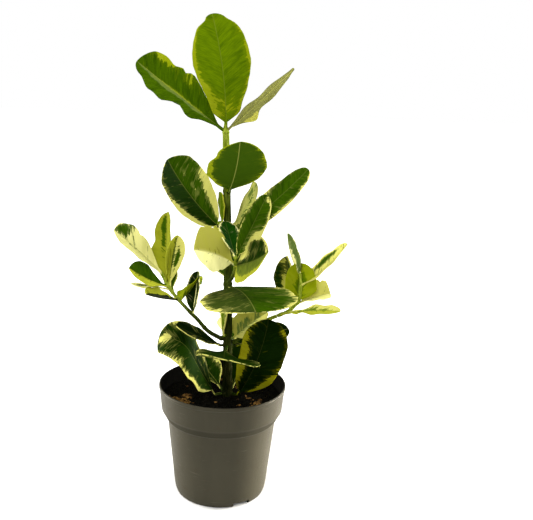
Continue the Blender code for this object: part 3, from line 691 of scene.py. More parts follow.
def stem_relief(share, turn):
    """Joints with a groove above each, ribs that wander, and faint lumps."""
    height = STEM_FOOT[2] + share * (STEM_TOP[2] - STEM_FOOT[2])
    x, y = math.cos(turn), math.sin(turn)
    joint = sum(bell(height - pair, JOINT_REACH) for pair in PAIR_HEIGHTS)
    groove = sum(bell(height - pair - GROOVE_RISE, GROOVE_REACH) for pair in PAIR_HEIGHTS)
    wander = RIB_WANDER * noise.noise((x, y, height * 30.0))
    ribs = RIB_DEPTH * math.sin(RIB_COUNT * turn + wander)
    lumps = STEM_LUMPS * noise.noise((3.0 * x, 3.0 * y, height * 160.0))
    oval = 1.0 - JOINT_OVAL + JOINT_OVAL * math.cos(2.0 * turn)
    swell = JOINT_SWELL * min(joint, MOST_JOINT) * oval
    return swell - GROOVE_DEPTH * groove + ribs + lumps


def limb_relief(joints, reach, swell):
    """Relief for a thin limb with swollen joints at shares of its length."""
    def relief(share, turn):
        joint = sum(bell(share - at, reach) for at in joints)
        lumps = noise.noise((2.0 * math.cos(turn), 2.0 * math.sin(turn), share * 40.0))
        return swell * joint + LIMB_LUMPS * lumps
    return relief


# %% The main stem
STEM_STEPS = 60
STEM_SIDES = 36
STEM_RINGS = 300
stem_path = [(stem_axis(z), stem_radius(z)) for z in np.linspace(STEM_FOOT[2], STEM_TOP[2], STEM_STEPS)]
points, faces, young = tube(stem_path, STEM_SIDES, STEM_RINGS, stem_relief, (0.0, 0.75))
make_piece("green_stem", points, faces, rind.material, ["main_stem"], {"youth": young})
print("stem rings:", STEM_RINGS)

# %% The four limbs, and the two boughs
LEFT_LIMB = stem_limb(
    0.2190, 184,
    ((-0.0205, -0.005, 0.2300), (-0.0354, -0.007, 0.2475), (-0.0434, -0.008, 0.2558),
     (-0.0605, -0.010, 0.2753), (-0.0735, -0.010, 0.2927), (-0.0828, -0.008, 0.3108)),
    BOUGH_RADII, 16,
)
RIGHT_LIMB = stem_limb(
    0.2140, 8,
    ((0.0349, 0.004, 0.2300), (0.0586, 0.006, 0.2442), (0.0743, 0.007, 0.2509),
     (0.0871, 0.005, 0.2589), (0.0982, 0.003, 0.2735), (0.1002, 0.006, 0.2933),
     (0.0984, 0.010, 0.3090)),
    BOUGH_RADII, 18,
)
FRONT_LIMB = stem_limb(
    0.2995, 281, ((0.0112, -0.030, 0.3180), (0.0126, -0.0560, 0.3470)), (0.0026, 0.0018), 7
)
BACK_LIMB = stem_limb(
    0.3030, 92, ((0.0060, 0.026, 0.3140), (0.0050, 0.0460, 0.3300)), (0.0024, 0.0017), 7
)
LEFT_BOUGH_POINTS = 7
RIGHT_BOUGH_POINTS = 8
BOUGH_SIDES = 20
BOUGH_RINGS = 70
BOUGH_JOINTS = (0.05, 0.62)
BOUGH_JOINT_REACH = 0.035
LIMB_SWELL = 0.0005


def split_limb(path, index):
    """The bough up to a point of the limb, and the shoot from just beyond it."""
    place, radius = path[index]
    along = (path[index + 1][0] - place).normalized()
    return path[: index + 1], [(place + along * CLEAR, radius)] + path[index + 1:]


left_bough, LEFT_SHOOT = split_limb(LEFT_LIMB, LEFT_BOUGH_POINTS)
right_bough, RIGHT_SHOOT = split_limb(RIGHT_LIMB, RIGHT_BOUGH_POINTS)
bough_relief = limb_relief(BOUGH_JOINTS, BOUGH_JOINT_REACH, LIMB_SWELL)
for side, path, youth in (("left", left_bough, (0.15, 0.45)), ("right", right_bough, (0.30, 0.74))):
    points, faces, young = tube(path, BOUGH_SIDES, BOUGH_RINGS, bough_relief, youth)
    make_piece(side + "_limb", points, faces, rind.material, [side + "_bough"], {"youth": young})
print("boughs end at x %.3f and %.3f m" % (left_bough[-1][0].x, right_bough[-1][0].x))

# %% [markdown]
# ## The leaf
# A clusia leaf is as thick as card and stiff, broad above the middle, with a strong midrib and a rounded
# margin. It is grown as the solid was: a frame marches along the midrib and turns a little at each step,
# and the blade spreads to both sides of it. Here the grid is much finer, the margin closes in a round
# edge, the midrib is a groove above and a ridge below, and the outline wavers slightly.

# %% The march along the midrib
MIDRIB_STEPS = 24
CURL_FROM = 0.5
CURL_GROWTH = 8.0


def turned_pair(first, second, angle):
    """Two axes at right angles, turned in their own plane: the first toward the second."""
    return (
        first * math.cos(angle) + second * math.sin(angle),
        second * math.cos(angle) - first * math.sin(angle),
    )


def midrib(base, leaf):
    """Place, side and normal of the leaf at each step along its midrib."""
    azimuth, rise, roll, bend, curl, twist, sweep = [
        math.radians(leaf[key]) for key in ("azimuth", "rise", "roll", "bend", "curl", "twist", "sweep")
    ]
    outward = Vector((math.cos(azimuth), math.sin(azimuth), 0.0))
    direction = outward * math.cos(rise) + Vector((0.0, 0.0, math.sin(rise)))
    side = Vector((-math.sin(azimuth), math.cos(azimuth), 0.0))
    side, normal = turned_pair(side, direction.cross(side), roll)
    step = 1.0 / MIDRIB_STEPS
    place = Vector(base)
    track = [(*place, *side, *normal)]
    for k in range(MIDRIB_STEPS):
        late = CURL_GROWTH * max(0.0, (k + 0.5) * step - CURL_FROM)
        direction, normal = turned_pair(direction, normal, -(bend + curl * late) * step)
        direction, side = turned_pair(direction, side, sweep * step)
        side, normal = turned_pair(side, normal, twist * step)
        place = place + direction * (leaf["length"] * step)
        track.append((*place, *side, *normal))
    return np.array(track)


# %% The blade's grid
PETIOLE_SHARE = 0.07
HALF_COLUMNS = (0.0, 0.03, 0.07, 0.13, 0.21, 0.3, 0.4, 0.5, 0.6, 0.7, 0.79, 0.87, 0.93, 0.97, 0.99, 1.0)
COLUMNS = np.array([-v for v in reversed(HALF_COLUMNS[1:])] + list(HALF_COLUMNS))
HAND = np.where(COLUMNS < 0.0, -1.0, 1.0)
STALK_ROWS = (0.0, 0.3, 0.6, 0.85)
FOOT_ROWS = 20
FOOT_CROWDING = 1.5
TIP_ROWS = 18


def leaf_shares(leaf):
    """Where the rows of the grid lie along the leaf: close together at its foot and its tip."""
    widest = leaf["widest"]
    stalk = PETIOLE_SHARE * np.array(STALK_ROWS)
    foot = PETIOLE_SHARE + (widest - PETIOLE_SHARE) * (np.arange(FOOT_ROWS) / FOOT_ROWS) ** FOOT_CROWDING
    tip = widest + (1.0 - widest) * np.sin(0.5 * math.pi * np.arange(TIP_ROWS + 1) / TIP_ROWS)
    return np.concatenate([stalk, foot, tip])


print("points on one side of a leaf:", (len(STALK_ROWS) + FOOT_ROWS + TIP_ROWS + 1) * len(COLUMNS))

# %% Its outline
PETIOLE_HALF_WIDTH = 0.0021
TIP_HALF_WIDTH = 0.0007
MARGIN_WAVER = 0.012
WAVER_COUNTS = (4.3, 9.1)
WAVER_SHARES = (1.0, 0.6)
GOLDEN_ANGLE = 2.399


def outline_width(t, leaf):
    """Half width of the blade as a share of its widest. full and tip shape its foot and its end."""
    along = np.clip((t - PETIOLE_SHARE) / (1.0 - PETIOLE_SHARE), 0.0, 1.0)
    peak = (leaf["widest"] - PETIOLE_SHARE) / (1.0 - PETIOLE_SHARE)
    power = leaf["tip"]
    foot = np.sin(0.5 * math.pi * np.minimum(along / peak, 1.0)) ** leaf["full"]
    end = (1.0 - np.clip((along - peak) / (1.0 - peak), 0.0, 1.0) ** power) ** (1.0 / power)
    return np.where(along < peak, foot, end)


def half_widths(t, leaf, nicks, tune):
    """Half the width at each spot of the grid: the outline, its lobes and nicks, and a faint waver."""
    half = 0.5 * leaf["width"] * outline_width(t, leaf) * np.ones_like(COLUMNS)
    for side, at, size, reach in (*leaf["lobes"], *nicks):
        half = np.where(side * HAND > 0.0, half * (1.0 + size * bell(t - at, reach)), half)
    slow, fast = [2.0 * math.pi * count * t for count in WAVER_COUNTS]
    waver = WAVER_SHARES[0] * np.sin(slow + tune + HAND) + WAVER_SHARES[1] * np.sin(fast + 2.0 * tune)
    half = half * (1.0 + MARGIN_WAVER * waver * np.abs(COLUMNS))
    return np.maximum(half, np.where(t < 0.5, PETIOLE_HALF_WIDTH, TIP_HALF_WIDTH))


# %% Its thickness
BLADE_THICKNESS = 0.0013
MARGIN_THICKNESS = 0.0010
PETIOLE_THICKNESS = 0.0032
RIB_GROOVE_DEPTH = 0.00030
RIB_GROOVE_REACH = 0.0007
RIB_RIDGE_HEIGHT = 0.00085
RIB_RIDGE_REACH = 0.0010
RIB_TAPER = 0.6
ROUND_EDGE = 2.0
FLAT_EDGE = 11.0


def face_depths(t, half):
    """How far the upper and the lower face lie from the middle, with the groove and the ridge."""
    a = np.abs(COLUMNS)
    stalk = np.maximum(0.0, 1.0 - t / (2.0 * PETIOLE_SHARE))
    sheet = BLADE_THICKNESS + (MARGIN_THICKNESS - BLADE_THICKNESS) * a
    power = ROUND_EDGE + (FLAT_EDGE - ROUND_EDGE) * (1.0 - stalk)
    thick = (sheet + (PETIOLE_THICKNESS - sheet) * stalk) * (1.0 - a ** power) ** (1.0 / power)
    rib = (1.0 - t) ** RIB_TAPER * (1.0 - stalk)
    groove = RIB_GROOVE_DEPTH * rib * bell(a * half, RIB_GROOVE_REACH)
    ridge = RIB_RIDGE_HEIGHT * rib * bell(a * half, RIB_RIDGE_REACH)
    return 0.5 * thick - groove, 0.5 * thick + ridge


# %% The two faces of a leaf
LEAST_CUP = 0.001
SURFACE_SWELL = 0.00045
SWELL_COUNT = 2.7
RIPPLE_EASE = 1.1
RIPPLE_SHIFT = 1.3
RIB_EASE = 0.10


def grow_leaf(base, leaf, nicks, number):
    """Half widths, and the points of the upper and the lower face of one closed leaf."""
    shares = leaf_shares(leaf)
    spot = shares * MIDRIB_STEPS
    index = np.minimum(spot.astype(int), MIDRIB_STEPS - 1)
    part = (spot - index)[:, None]
    track = midrib(base, leaf)
    here = (track[index] * (1.0 - part) + track[index + 1] * part)[:, None]
    place, across, up = here[..., 0:3], here[..., 3:6], here[..., 6:9]

    t = shares[:, None]
    a = np.abs(COLUMNS)
    tune = GOLDEN_ANGLE * number
    half = half_widths(t, leaf, nicks, tune)
    fold = math.radians(leaf["fold"])
    cup = math.radians(leaf["cup"])
    if abs(cup) < LEAST_CUP:
        cup = LEAST_CUP
    reach = (np.sin(fold + cup * a) - math.sin(fold)) / cup
    lift = (math.cos(fold) - np.cos(fold + cup * a)) / cup
    ripple = leaf["wave"] * a * a * np.sin(math.pi * np.minimum(RIPPLE_EASE * t, 1.0)) * np.sin(
        2.0 * math.pi * leaf["waves"] * t + leaf["phase"] + RIPPLE_SHIFT * (COLUMNS < 0.0)
    )
    swell = SURFACE_SWELL * a * np.sin(2.0 * math.pi * SWELL_COUNT * t + tune + 2.0 * HAND * a)
    rise = half * lift + ripple + swell
    middle = place + across * (HAND * half * reach)[..., None] + up * rise[..., None]

    tilt = (fold + cup * a) * np.minimum(a / RIB_EASE, 1.0)
    out = up * np.cos(tilt)[:, None] - across * (HAND * np.sin(tilt))[:, None]
    above, below = face_depths(t, half)
    upper = middle + out * above[..., None]
    lower = middle - out * below[..., None]
    for row in (0, -1):
        upper[row] = middle[row]
    return shares, half, upper, lower


# %% [markdown]
# ## The pattern
# The green and the pale tissue meet in ragged tongues that follow the side veins. Two things make that:
# a slow value stored on the points, which says how pale a spot is meant to be (high along the margins,
# low in the middle, and raised or lowered where a patch lies), and streaky noise in the shader that
# runs along the veins. Where their sum passes a threshold the colour changes, so edges come out sharp.

# %% Colours of the leaves
TISSUE = {
    "deep": paint(9, 24, 2),
    "bottle": paint(22, 44, 3),
    "emerald": paint(20, 60, 5),
    "jade": paint(48, 62, 17),
    "leaf": paint(46, 73, 3),
    "moss": paint(56, 82, 2),
    "fresh": paint(84, 109, 3),
    "lime": paint(132, 144, 10),
    "kiwi": paint(122, 126, 24),
    "olive": paint(78, 86, 8),
    # Partly painted shade: a real olive-yellow, kept as dark as it looks on a leaf in shade
    "mustard_in_shade": paint(122, 119, 8),
    "grey": paint(84, 104, 46),
    # Painted sheen: a grey-olive green that stands for the soft sheen on half of a leaf
    "slate_sheen": paint(98, 112, 36),
    "dust": paint(112, 112, 58),
    "sage": paint(138, 140, 68),
    "straw": paint(166, 163, 68),
    "lemon": paint(164, 168, 46),
    "butter": paint(206, 202, 106),
    "ivory": paint(220, 216, 136),
    "cream": paint(240, 236, 160),
}
TIP_FROM = 0.75
NARROWEST_MARGIN = 0.20
LEAST_PALE = -1.4


def paleness(t, look):
    """How pale each spot is meant to be: margins first, then the patches."""
    left, right = look["margins"]
    margin = np.where(COLUMNS < 0.0, left, right) * np.ones_like(t)
    margin = margin + look["tip"] * np.clip((t - TIP_FROM) / (1.0 - TIP_FROM), 0.0, 1.0)
    inward = 1.0 - np.abs(COLUMNS)
    pale = np.clip((margin - inward) / np.maximum(margin, NARROWEST_MARGIN), LEAST_PALE, 1.0)
    for at, side, reach, breadth, amount in look["patches"]:
        pale = pale + amount * bell(t - at, reach) * bell(COLUMNS - side, breadth)
    return pale


print("tissues:", len(TISSUE))

# %% The waxy skin
skin = Finish("leaf_skin", specular=0.05, ior=1.15, tint=(0.6, 1.0, 0.2))
veins = skin.attribute("vein_place", "Vector")
pale_here = skin.attribute("paleness")
under = skin.attribute("underside")
from_rib = skin.attribute("from_rib")
rib_paleness = skin.attribute("rib_paleness")
dark_tissue = skin.attribute("green_tissue", "Color")
pale_tissue = skin.attribute("pale_tissue", "Color")

tongues = skin.noise(veins, (300.0, 62.0, 1.0), 3.0, 0.62)
sectors = skin.noise(veins, (85.0, 22.0, 1.7))
streaks = skin.noise(veins, (1000.0, 80.0, 1.0), 2.0, 0.55)
mottle = skin.noise(veins, (150.0, 38.0, 1.3), 4.0, 0.6)
lines = skin.noise(veins, (900.0, 25.0, 1.0), 1.0)
level = pale_here + (tongues - 0.5) * 3.0 + (sectors - 0.5) * 1.6 + (streaks - 0.5) * 1.1
half_way = skin.rise(level, -1.05, -0.55) * skin.rise(mottle, 0.38, 0.53)
full_pale = skin.rise(level, -0.08, 0.06)

plain = 1.0 - under * 0.75
fresher = skin.scaled(dark_tissue, (1.9, 1.75, 1.3))
darker = skin.scaled(dark_tissue, (0.30, 0.45, 0.40))
dark = skin.blend(skin.rise(streaks, 0.42, 0.68) * plain * 0.5, dark_tissue, fresher)
dark = skin.blend(skin.rise(mottle, 0.44, 0.68) * plain * 0.55, dark, darker)
colour = skin.blend(half_way * 0.85, dark, skin.blend(0.18, dark_tissue, pale_tissue))
yellower = skin.blend(0.6, pale_tissue, TISSUE["lemon"])
light = skin.blend(skin.rise(mottle, 0.38, 0.66) * 0.30, pale_tissue, yellower)
colour = skin.blend(full_pale, colour, light)
rib_line = 1.0 - skin.rise(from_rib, 0.00020, 0.0008)
rib_tone = skin.blend(rib_paleness + under * 0.3, dark_tissue, TISSUE["butter"])
colour = skin.blend(rib_line * 0.6, colour, rib_tone)
colour = skin.blend(under * 0.03, colour, TISSUE["sage"])
skin.wear(colour, 0.34 + streaks * 0.12 + under * 0.16, lines * 0.6 + mottle * 0.4, 0.00014)
print("leaf skin nodes:", len(skin.tree.nodes))

# %% [markdown]
# ## Joining leaves into a piece
# The leaves of one shoot are one mesh, with the values that the skin reads on its points. The mesh also
# gets a map of its own for baking: both faces of each leaf lie flat on it at one scale, packed in
# shelves, so that the pattern stays sharp when the material is written to an image.

# %% Shelves of flat leaves
MAP_GAP = 0.0015
MAP_FILL = 0.98
MAP_SHRINK = 0.98


def shelf_places(sizes):
    """Packs (width, height) cards on shelves in a unit square. Gives the scale and the corners."""
    order = sorted(range(len(sizes)), key=lambda k: -sizes[k][1])
    scale = MAP_FILL / math.sqrt(sum(w * h for w, h in sizes))
    while True:
        x = y = shelf = 0.0
        corners = [None] * len(sizes)
        for k in order:
            w, h = sizes[k][0] * scale, sizes[k][1] * scale
            if x + w > 1.0:
                x, y, shelf = 0.0, y + shelf, 0.0
            corners[k] = (x, y)
            x += w
            shelf = max(shelf, h)
        if y + shelf <= 1.0 and max(w for w, _ in sizes) * scale <= 1.0:
            return scale, corners
        scale *= MAP_SHRINK


# %% From grown leaves to one mesh
class LeafMesh:
    """Gathers leaves and stalks into one mesh, with the values that the skin reads on its points."""

    def __init__(self):
        self.points = []
        self.faces = []
        self.flat = []
        self.cards = []
        self.sizes = []
        self.fields = {}

    def add(self, points, sheets, flat, values):
        """Each sheet of faces lies on a card of its own, at the spots given by flat."""
        start = len(self.points)
        low = flat.min(axis=0)
        size = flat.max(axis=0) - low + MAP_GAP
        self.points += points.tolist()
        self.flat += (flat - low + 0.5 * MAP_GAP).tolist()
        for sheet in sheets:
            self.faces += (np.asarray(sheet) + start).tolist()
            self.cards += [len(self.sizes)] * len(sheet)
            self.sizes.append(tuple(size))
        for key, rows in values.items():
            self.fields.setdefault(key, []).append(rows)

    def finish(self, name, nodes):
        fields = {key: np.concatenate(rows) for key, rows in self.fields.items()}
        piece = make_piece(name, self.points, self.faces, skin.material, nodes, fields)
        scale, corners = shelf_places(self.sizes)
        layer = piece.data.uv_layers.new(name="OFBake")
        loops = np.empty(len(piece.data.loops), int)
        piece.data.loops.foreach_get("vertex_index", loops)
        owner = np.repeat(self.cards, [len(face) for face in self.faces])
        spots = np.array(self.flat)[loops] * scale + np.array(corners)[owner]
        layer.data.foreach_set("uv", spots.ravel())


# %% A leaf in the mesh
VEIN_SLANT = 0.75
VEIN_CURVE = 6.0
LEAVES_APART = 7.3
HALVES_APART = 1.7
HALVES_MEET = 6.0


def add_leaf(mesh, base, leaf, look, number):
    """One leaf: its upper and lower faces share the points of the margin and of both ends."""
    shares, half, upper, lower = grow_leaf(base, leaf, look["nicks"], number)
    rows, wide = half.shape
    v = COLUMNS * np.ones((rows, 1))
    t = shares[:, None] * np.ones_like(v)
    from_rib = np.abs(v) * half
    slant = t * leaf["length"] - VEIN_SLANT * from_rib + VEIN_CURVE * from_rib ** 2
    apart = LEAVES_APART * number + HALVES_APART * (v > 0.0)
    turn = np.clip(v * HALVES_MEET + 0.5, 0.0, 1.0)[..., None]
    green, pale = [
        np.array(TISSUE[left]) * (1.0 - turn) + np.array(TISSUE[right]) * turn
        for left, right in (look["greens"], look["pales"])
    ]
    grids = {
        "vein_place": np.stack([slant, from_rib, apart], axis=-1),
        "paleness": paleness(shares[:, None], look),
        "from_rib": from_rib,
        "rib_paleness": np.full((rows, wide), look["rib"]),
        "underside": np.zeros((rows, wide)),
        "green_tissue": green,
        "pale_tissue": pale,
    }
    inner = np.zeros((rows, wide), bool)
    inner[1:-1, 1:-1] = True
    top = np.arange(rows * wide).reshape(rows, wide)
    bottom = top.copy()
    bottom[inner] = rows * wide + np.arange(inner.sum())

    def both_faces(upper_grid, lower_grid):
        """Rows for every point of the upper face, then for the inner points of the lower one."""
        return np.concatenate([upper_grid.reshape(rows * wide, *upper_grid.shape[2:]), lower_grid[inner]])

    values = {key: both_faces(grid, grid) for key, grid in grids.items()}
    values["underside"] = both_faces(grids["underside"], np.ones((rows, wide)))
    span = np.stack([v * half, t * leaf["length"]], axis=-1)
    corners = [[grid[:-1, :-1], grid[1:, :-1], grid[1:, 1:], grid[:-1, 1:]] for grid in (top, bottom)]
    sheets = [np.stack(order, axis=-1).reshape(-1, 4) for order in (corners[0], corners[1][::-1])]
    mesh.add(both_faces(upper, lower), sheets, both_faces(span, span), values)


# %% The neck of a leaf
STALK_SIDES = 14
STALK_RINGS = 8
STALK_PALENESS = -0.9
STALK_UNDERSIDE = 0.3
AWAY_FROM_RIB = 0.01


def add_stalk(mesh, path, look):
    """The short neck between the stem and a leaf, as two half tubes with a card for each."""
    points, faces, _ = tube(path, STALK_SIDES, STALK_RINGS, closed=False)
    points = np.array(points)
    count = len(points)
    turn = np.arange(count) % STALK_SIDES
    girth = np.minimum(turn, STALK_SIDES - turn) * 2.0 * math.pi * path[0][1] / STALK_SIDES
    rise = (np.arange(count) // STALK_SIDES) * (path[-1][0] - path[0][0]).length / STALK_RINGS
    faces = np.array(faces)
    first = faces[:, 0] % STALK_SIDES < STALK_SIDES // 2
    mesh.add(points, [faces[first], faces[~first]], np.stack([girth, rise], axis=-1), {
        "vein_place": points[:, [2, 0, 1]],
        "paleness": np.full(count, STALK_PALENESS),
        "from_rib": np.full(count, AWAY_FROM_RIB),
        "rib_paleness": np.zeros(count),
        "underside": np.full(count, STALK_UNDERSIDE),
        "green_tissue": np.tile(TISSUE[look["greens"][0]], (count, 1)),
        "pale_tissue": np.tile(TISSUE[look["pales"][0]], (count, 1)),
    })


# %% [markdown]
# ## The leaves of the plant
# Each leaf is given as the solid's source gives it: where it stands, how it turns and bends, and the
# size and shape of its blade. Beside it is its look. A tissue may be named once, or once for each half of
# the blade. The margins are shares of the half width, and one over 1 makes the whole half pale. A patch
# is its place along and across, its reach along and across, and how much paler (or greener, below zero)
# it is. Lobes and nicks swell or notch one half of the outline, and the solid leaves the nicks out.

# %% How a blade and its look are told
def blade(stands, size, bends=(0, 0, 0), section=(10, 0), outline=(0.6, 1.2, 2.2), wave=(0, 3, 0),
          curl=0, lobes=()):
    """stands: azimuth, rise, roll. size: length, width. bends: back, twist, sweep. section: fold, cup.
    outline: widest place, power of the foot, power of the tip. wave: height, number, phase."""
    names = ("azimuth", "rise", "roll", "length", "width", "bend", "twist", "sweep", "fold", "cup",
             "widest", "full", "tip", "wave", "waves", "phase")
    numbers = (*stands, *size, *bends, *section, *outline, *wave)
    return dict(zip(names, numbers), curl=curl, lobes=lobes)


def look(green, pale, left, right, patches=(), nicks=(), rib=0.35, tip=0.0):
    greens = green if isinstance(green, tuple) else (green, green)
    pales = pale if isinstance(pale, tuple) else (pale, pale)
    return dict(
        greens=greens, pales=pales, margins=(left, right), patches=patches, nicks=nicks, rib=rib, tip=tip
    )


# %% Leaves on the main stem: name, height of the node, azimuth and length of the neck, blade, look
STEM_LEAVES = (
    ("round_leaf_front", 0.4180, 279, 0.0035,
     blade((283, 34, -3), (0.114, 0.073), (-17, 2, -7), (-2, -6), (0.58, 1.00, 2.03), (0.0008, 2.7, 0.5)),
     look("leaf", "lime", 0.09, 0.06, ((0.52, -0.95, 0.16, 0.16, 1.2), (0.75, 0.2, 0.2, 0.4, 0.25)),
          ((-1, 0.80, -0.14, 0.06),), rib=0.22)),
    ("round_leaf_back", 0.4200, 99, 0.0035,
     blade((60, 30, 0), (0.076, 0.052), (14, 0, 0), (8, 0), (0.56, 1.2, 2.2)),
     look("leaf", "lemon", 0.10, 0.08, ((0.6, 0.6, 0.2, 0.3, 1.2),))),
    ("upper_leaf_left", 0.3680, 172, 0.0035,
     blade((183, 42, -54), (0.116, 0.068), (-23, 0, -9), (16, 0), (0.62, 0.56, 2.10), (0.0004, 3.5, -1.2)),
     look(("leaf", "bottle"), "butter", 0.0, -0.02, ((0.34, -0.80, 0.30, 0.27, 2.8),
          (0.62, -0.32, 0.30, 0.08, 0.80), (0.34, 0.90, 0.26, 0.16, 2.3), (0.80, -0.90, 0.16, 0.14, -1.0),
          (0.25, -1.00, 0.10, 0.10, -1.2)), ((1, 0.88, 0.12, 0.08), (-1, 0.90, 0.10, 0.07)), rib=0.2)),
    ("upper_leaf_right", 0.3645, 3, 0.0035,
     blade((9, 34, 47), (0.125, 0.036), (-16, -5, 6), (3, 4), (0.43, 0.58, 2.46)),
     look("leaf", "butter", 0.10, 0.0, ((0.44, 0.80, 0.12, 0.25, 1.7), (0.7, 0.5, 0.2, 0.2, 0.5),
          (0.25, -0.3, 0.10, 0.5, 1.0)), rib=0.12)),
    ("narrow_leaf_right", 0.3720, 35, 0.0035,
     blade((35, 42, -65), (0.067, 0.033), (-22, -5, -9), (3, -17), (0.53, 0.68, 2.10), (0.0016, 1.5, 2.2)),
     look("leaf", "sage", 1.10, 0.70, ((0.72, -0.45, 0.12, 0.25, -1.3),))),
    ("narrow_leaf_left", 0.3745, 225, 0.0030,
     blade((200, 80, 4), (0.044, 0.020), (-8, 0, 0), (6, 0)),
     look("fresh", "lemon", 0.20, 0.20)),
    ("broad_leaf_front", 0.2925, 283, 0.0035,
     blade((291, 17, 2), (0.111, 0.121), (30, -1, -9), (2, -3), (0.69, 1.01, 2.82)),
     look(("jade", "leaf"), "butter", 0.02, 0.0, ((0.92, -0.65, 0.08, 0.30, 0.9),
          (0.55, 0.55, 0.40, 0.50, 0.45), (0.55, -0.55, 0.35, 0.35, 0.5)), rib=0.3, tip=0.04)),
    ("broad_leaf_back", 0.2950, 90, 0.0035,
     blade((92, 19, 0), (0.086, 0.060), (10, 0, 0), (5, 0), (0.58, 1.2, 2.2)),
     look("leaf", "butter", 0.10, 0.12, ((0.7, -0.7, 0.15, 0.3, 1.3),))),
    ("low_leaf_left", 0.2100, 204, 0.0035,
     blade((205, 25, -12), (0.072, 0.039), (-6, -6, -6), (2, 22), (0.57, 0.76, 2.15)),
     look("deep", "butter", -0.05, 0.05, ((0.5, 0.5, 0.3, 0.3, 0.7),), rib=0.1)),
    ("low_leaf_right", 0.2205, 326, 0.0035,
     blade((28, 39, 21), (0.058, 0.053), (13, -26, -9), (20, -9), (0.44, 0.57, 2.01), (0.002, 1.5, 1.6)),
     look("grey", ("butter", "straw"), 0.90, 0.90, ((0.45, 0.35, 0.2, 0.25, -0.6),), tip=0.8)),
    ("low_leaf_front", 0.2092, 261, 0.0035,
     blade((261, -2, -10), (0.094, 0.073), (-29, -1, 15), (-3, 9), (0.58, 1.43, 2.53), (0.0033, 2.0, 1.6)),
     look("bottle", "butter", -0.04, -0.04, ((0.80, -0.55, 0.20, 0.30, 1.0),), ((1, 0.60, 0.28, 0.14),
          (1, 0.97, -0.65, 0.10), (-1, 0.97, -0.65, 0.10)), rib=0.1, tip=0.1)),
    ("low_leaf_far_right", 0.2060, 30, 0.0035,
     blade((22, 12, 30), (0.082, 0.036), (4, 0, 0), (12, 0)),
     look("deep", "olive", 0.03, 0.03)),
    ("low_leaf_back", 0.2095, 84, 0.0035,
     blade((78, 12, 0), (0.086, 0.056), (18, 0, 0), (10, 0), (0.62, 1.2, 2.2)),
     look("leaf", "cream", 0.20, 0.30, ((0.5, 0.4, 0.3, 0.3, 0.9),))),
    ("inner_leaf", 0.2250, 236, 0.0035,
     blade((196, 84, 8), (0.062, 0.026), (-4, 0, 0), (8, 0)),
     look("fresh", "butter", 0.90, 0.40)),
    ("foot_leaf_left", 0.1403, 199, 0.0090,
     blade((197, 57, -25), (0.134, 0.097), (-18, -2, 9), (2, -3), (0.48, 0.81, 1.97), (0.0005, 3.3, 0.5),
          curl=146, lobes=((-1, 0.40, -0.24, 0.12), (1, 0.42, -0.16, 0.10))),
     look("bottle", "butter", 0.0, 0.02, ((0.28, -0.80, 0.14, 0.20, 1.1), (0.66, -0.85, 0.14, 0.30, 1.7),
          (0.90, -0.10, 0.10, 0.38, 2.2), (0.35, 0.92, 0.20, 0.14, 1.3), (0.72, 0.70, 0.08, 0.20, 1.2),
          (0.33, -0.3, 0.20, 0.10, 1.2)), rib=0.2)),
    ("foot_leaf_right", 0.1403, 338, 0.0070,
     blade((326, 55, 133), (0.119, 0.068), (33, -4, 15), (28, -7), (0.68, 0.61, 2.17),
          lobes=((-1, 0.32, 0.16, 0.14), (1, 0.84, 0.12, 0.10))),
     # Partly painted shade: its deep green and mustard are real tints, kept as dark as this low leaf looks
     # in shade
     look("deep", "mustard_in_shade", -0.05, -0.02, ((0.48, 0.74, 0.40, 0.22, 2.0), (0.28, -0.85, 0.22, 0.25, 1.9),
          (0.90, -0.80, 0.05, 0.15, 1.2)), rib=0.04)),
    ("foot_leaf_back_right", 0.1415, 62, 0.0050,
     blade((58, 52, 0), (0.088, 0.054), (12, 0, 0), (12, 0)),
     look("bottle", "butter", 0.08, 0.10)),
    ("foot_leaf_back_left", 0.1415, 128, 0.0050,
     blade((126, 30, 0), (0.078, 0.050), (20, 0, 0)),
     look("bottle", "butter", 0.15, 0.06, ((0.45, 0.55, 0.35, 0.25, 1.9),))),
)

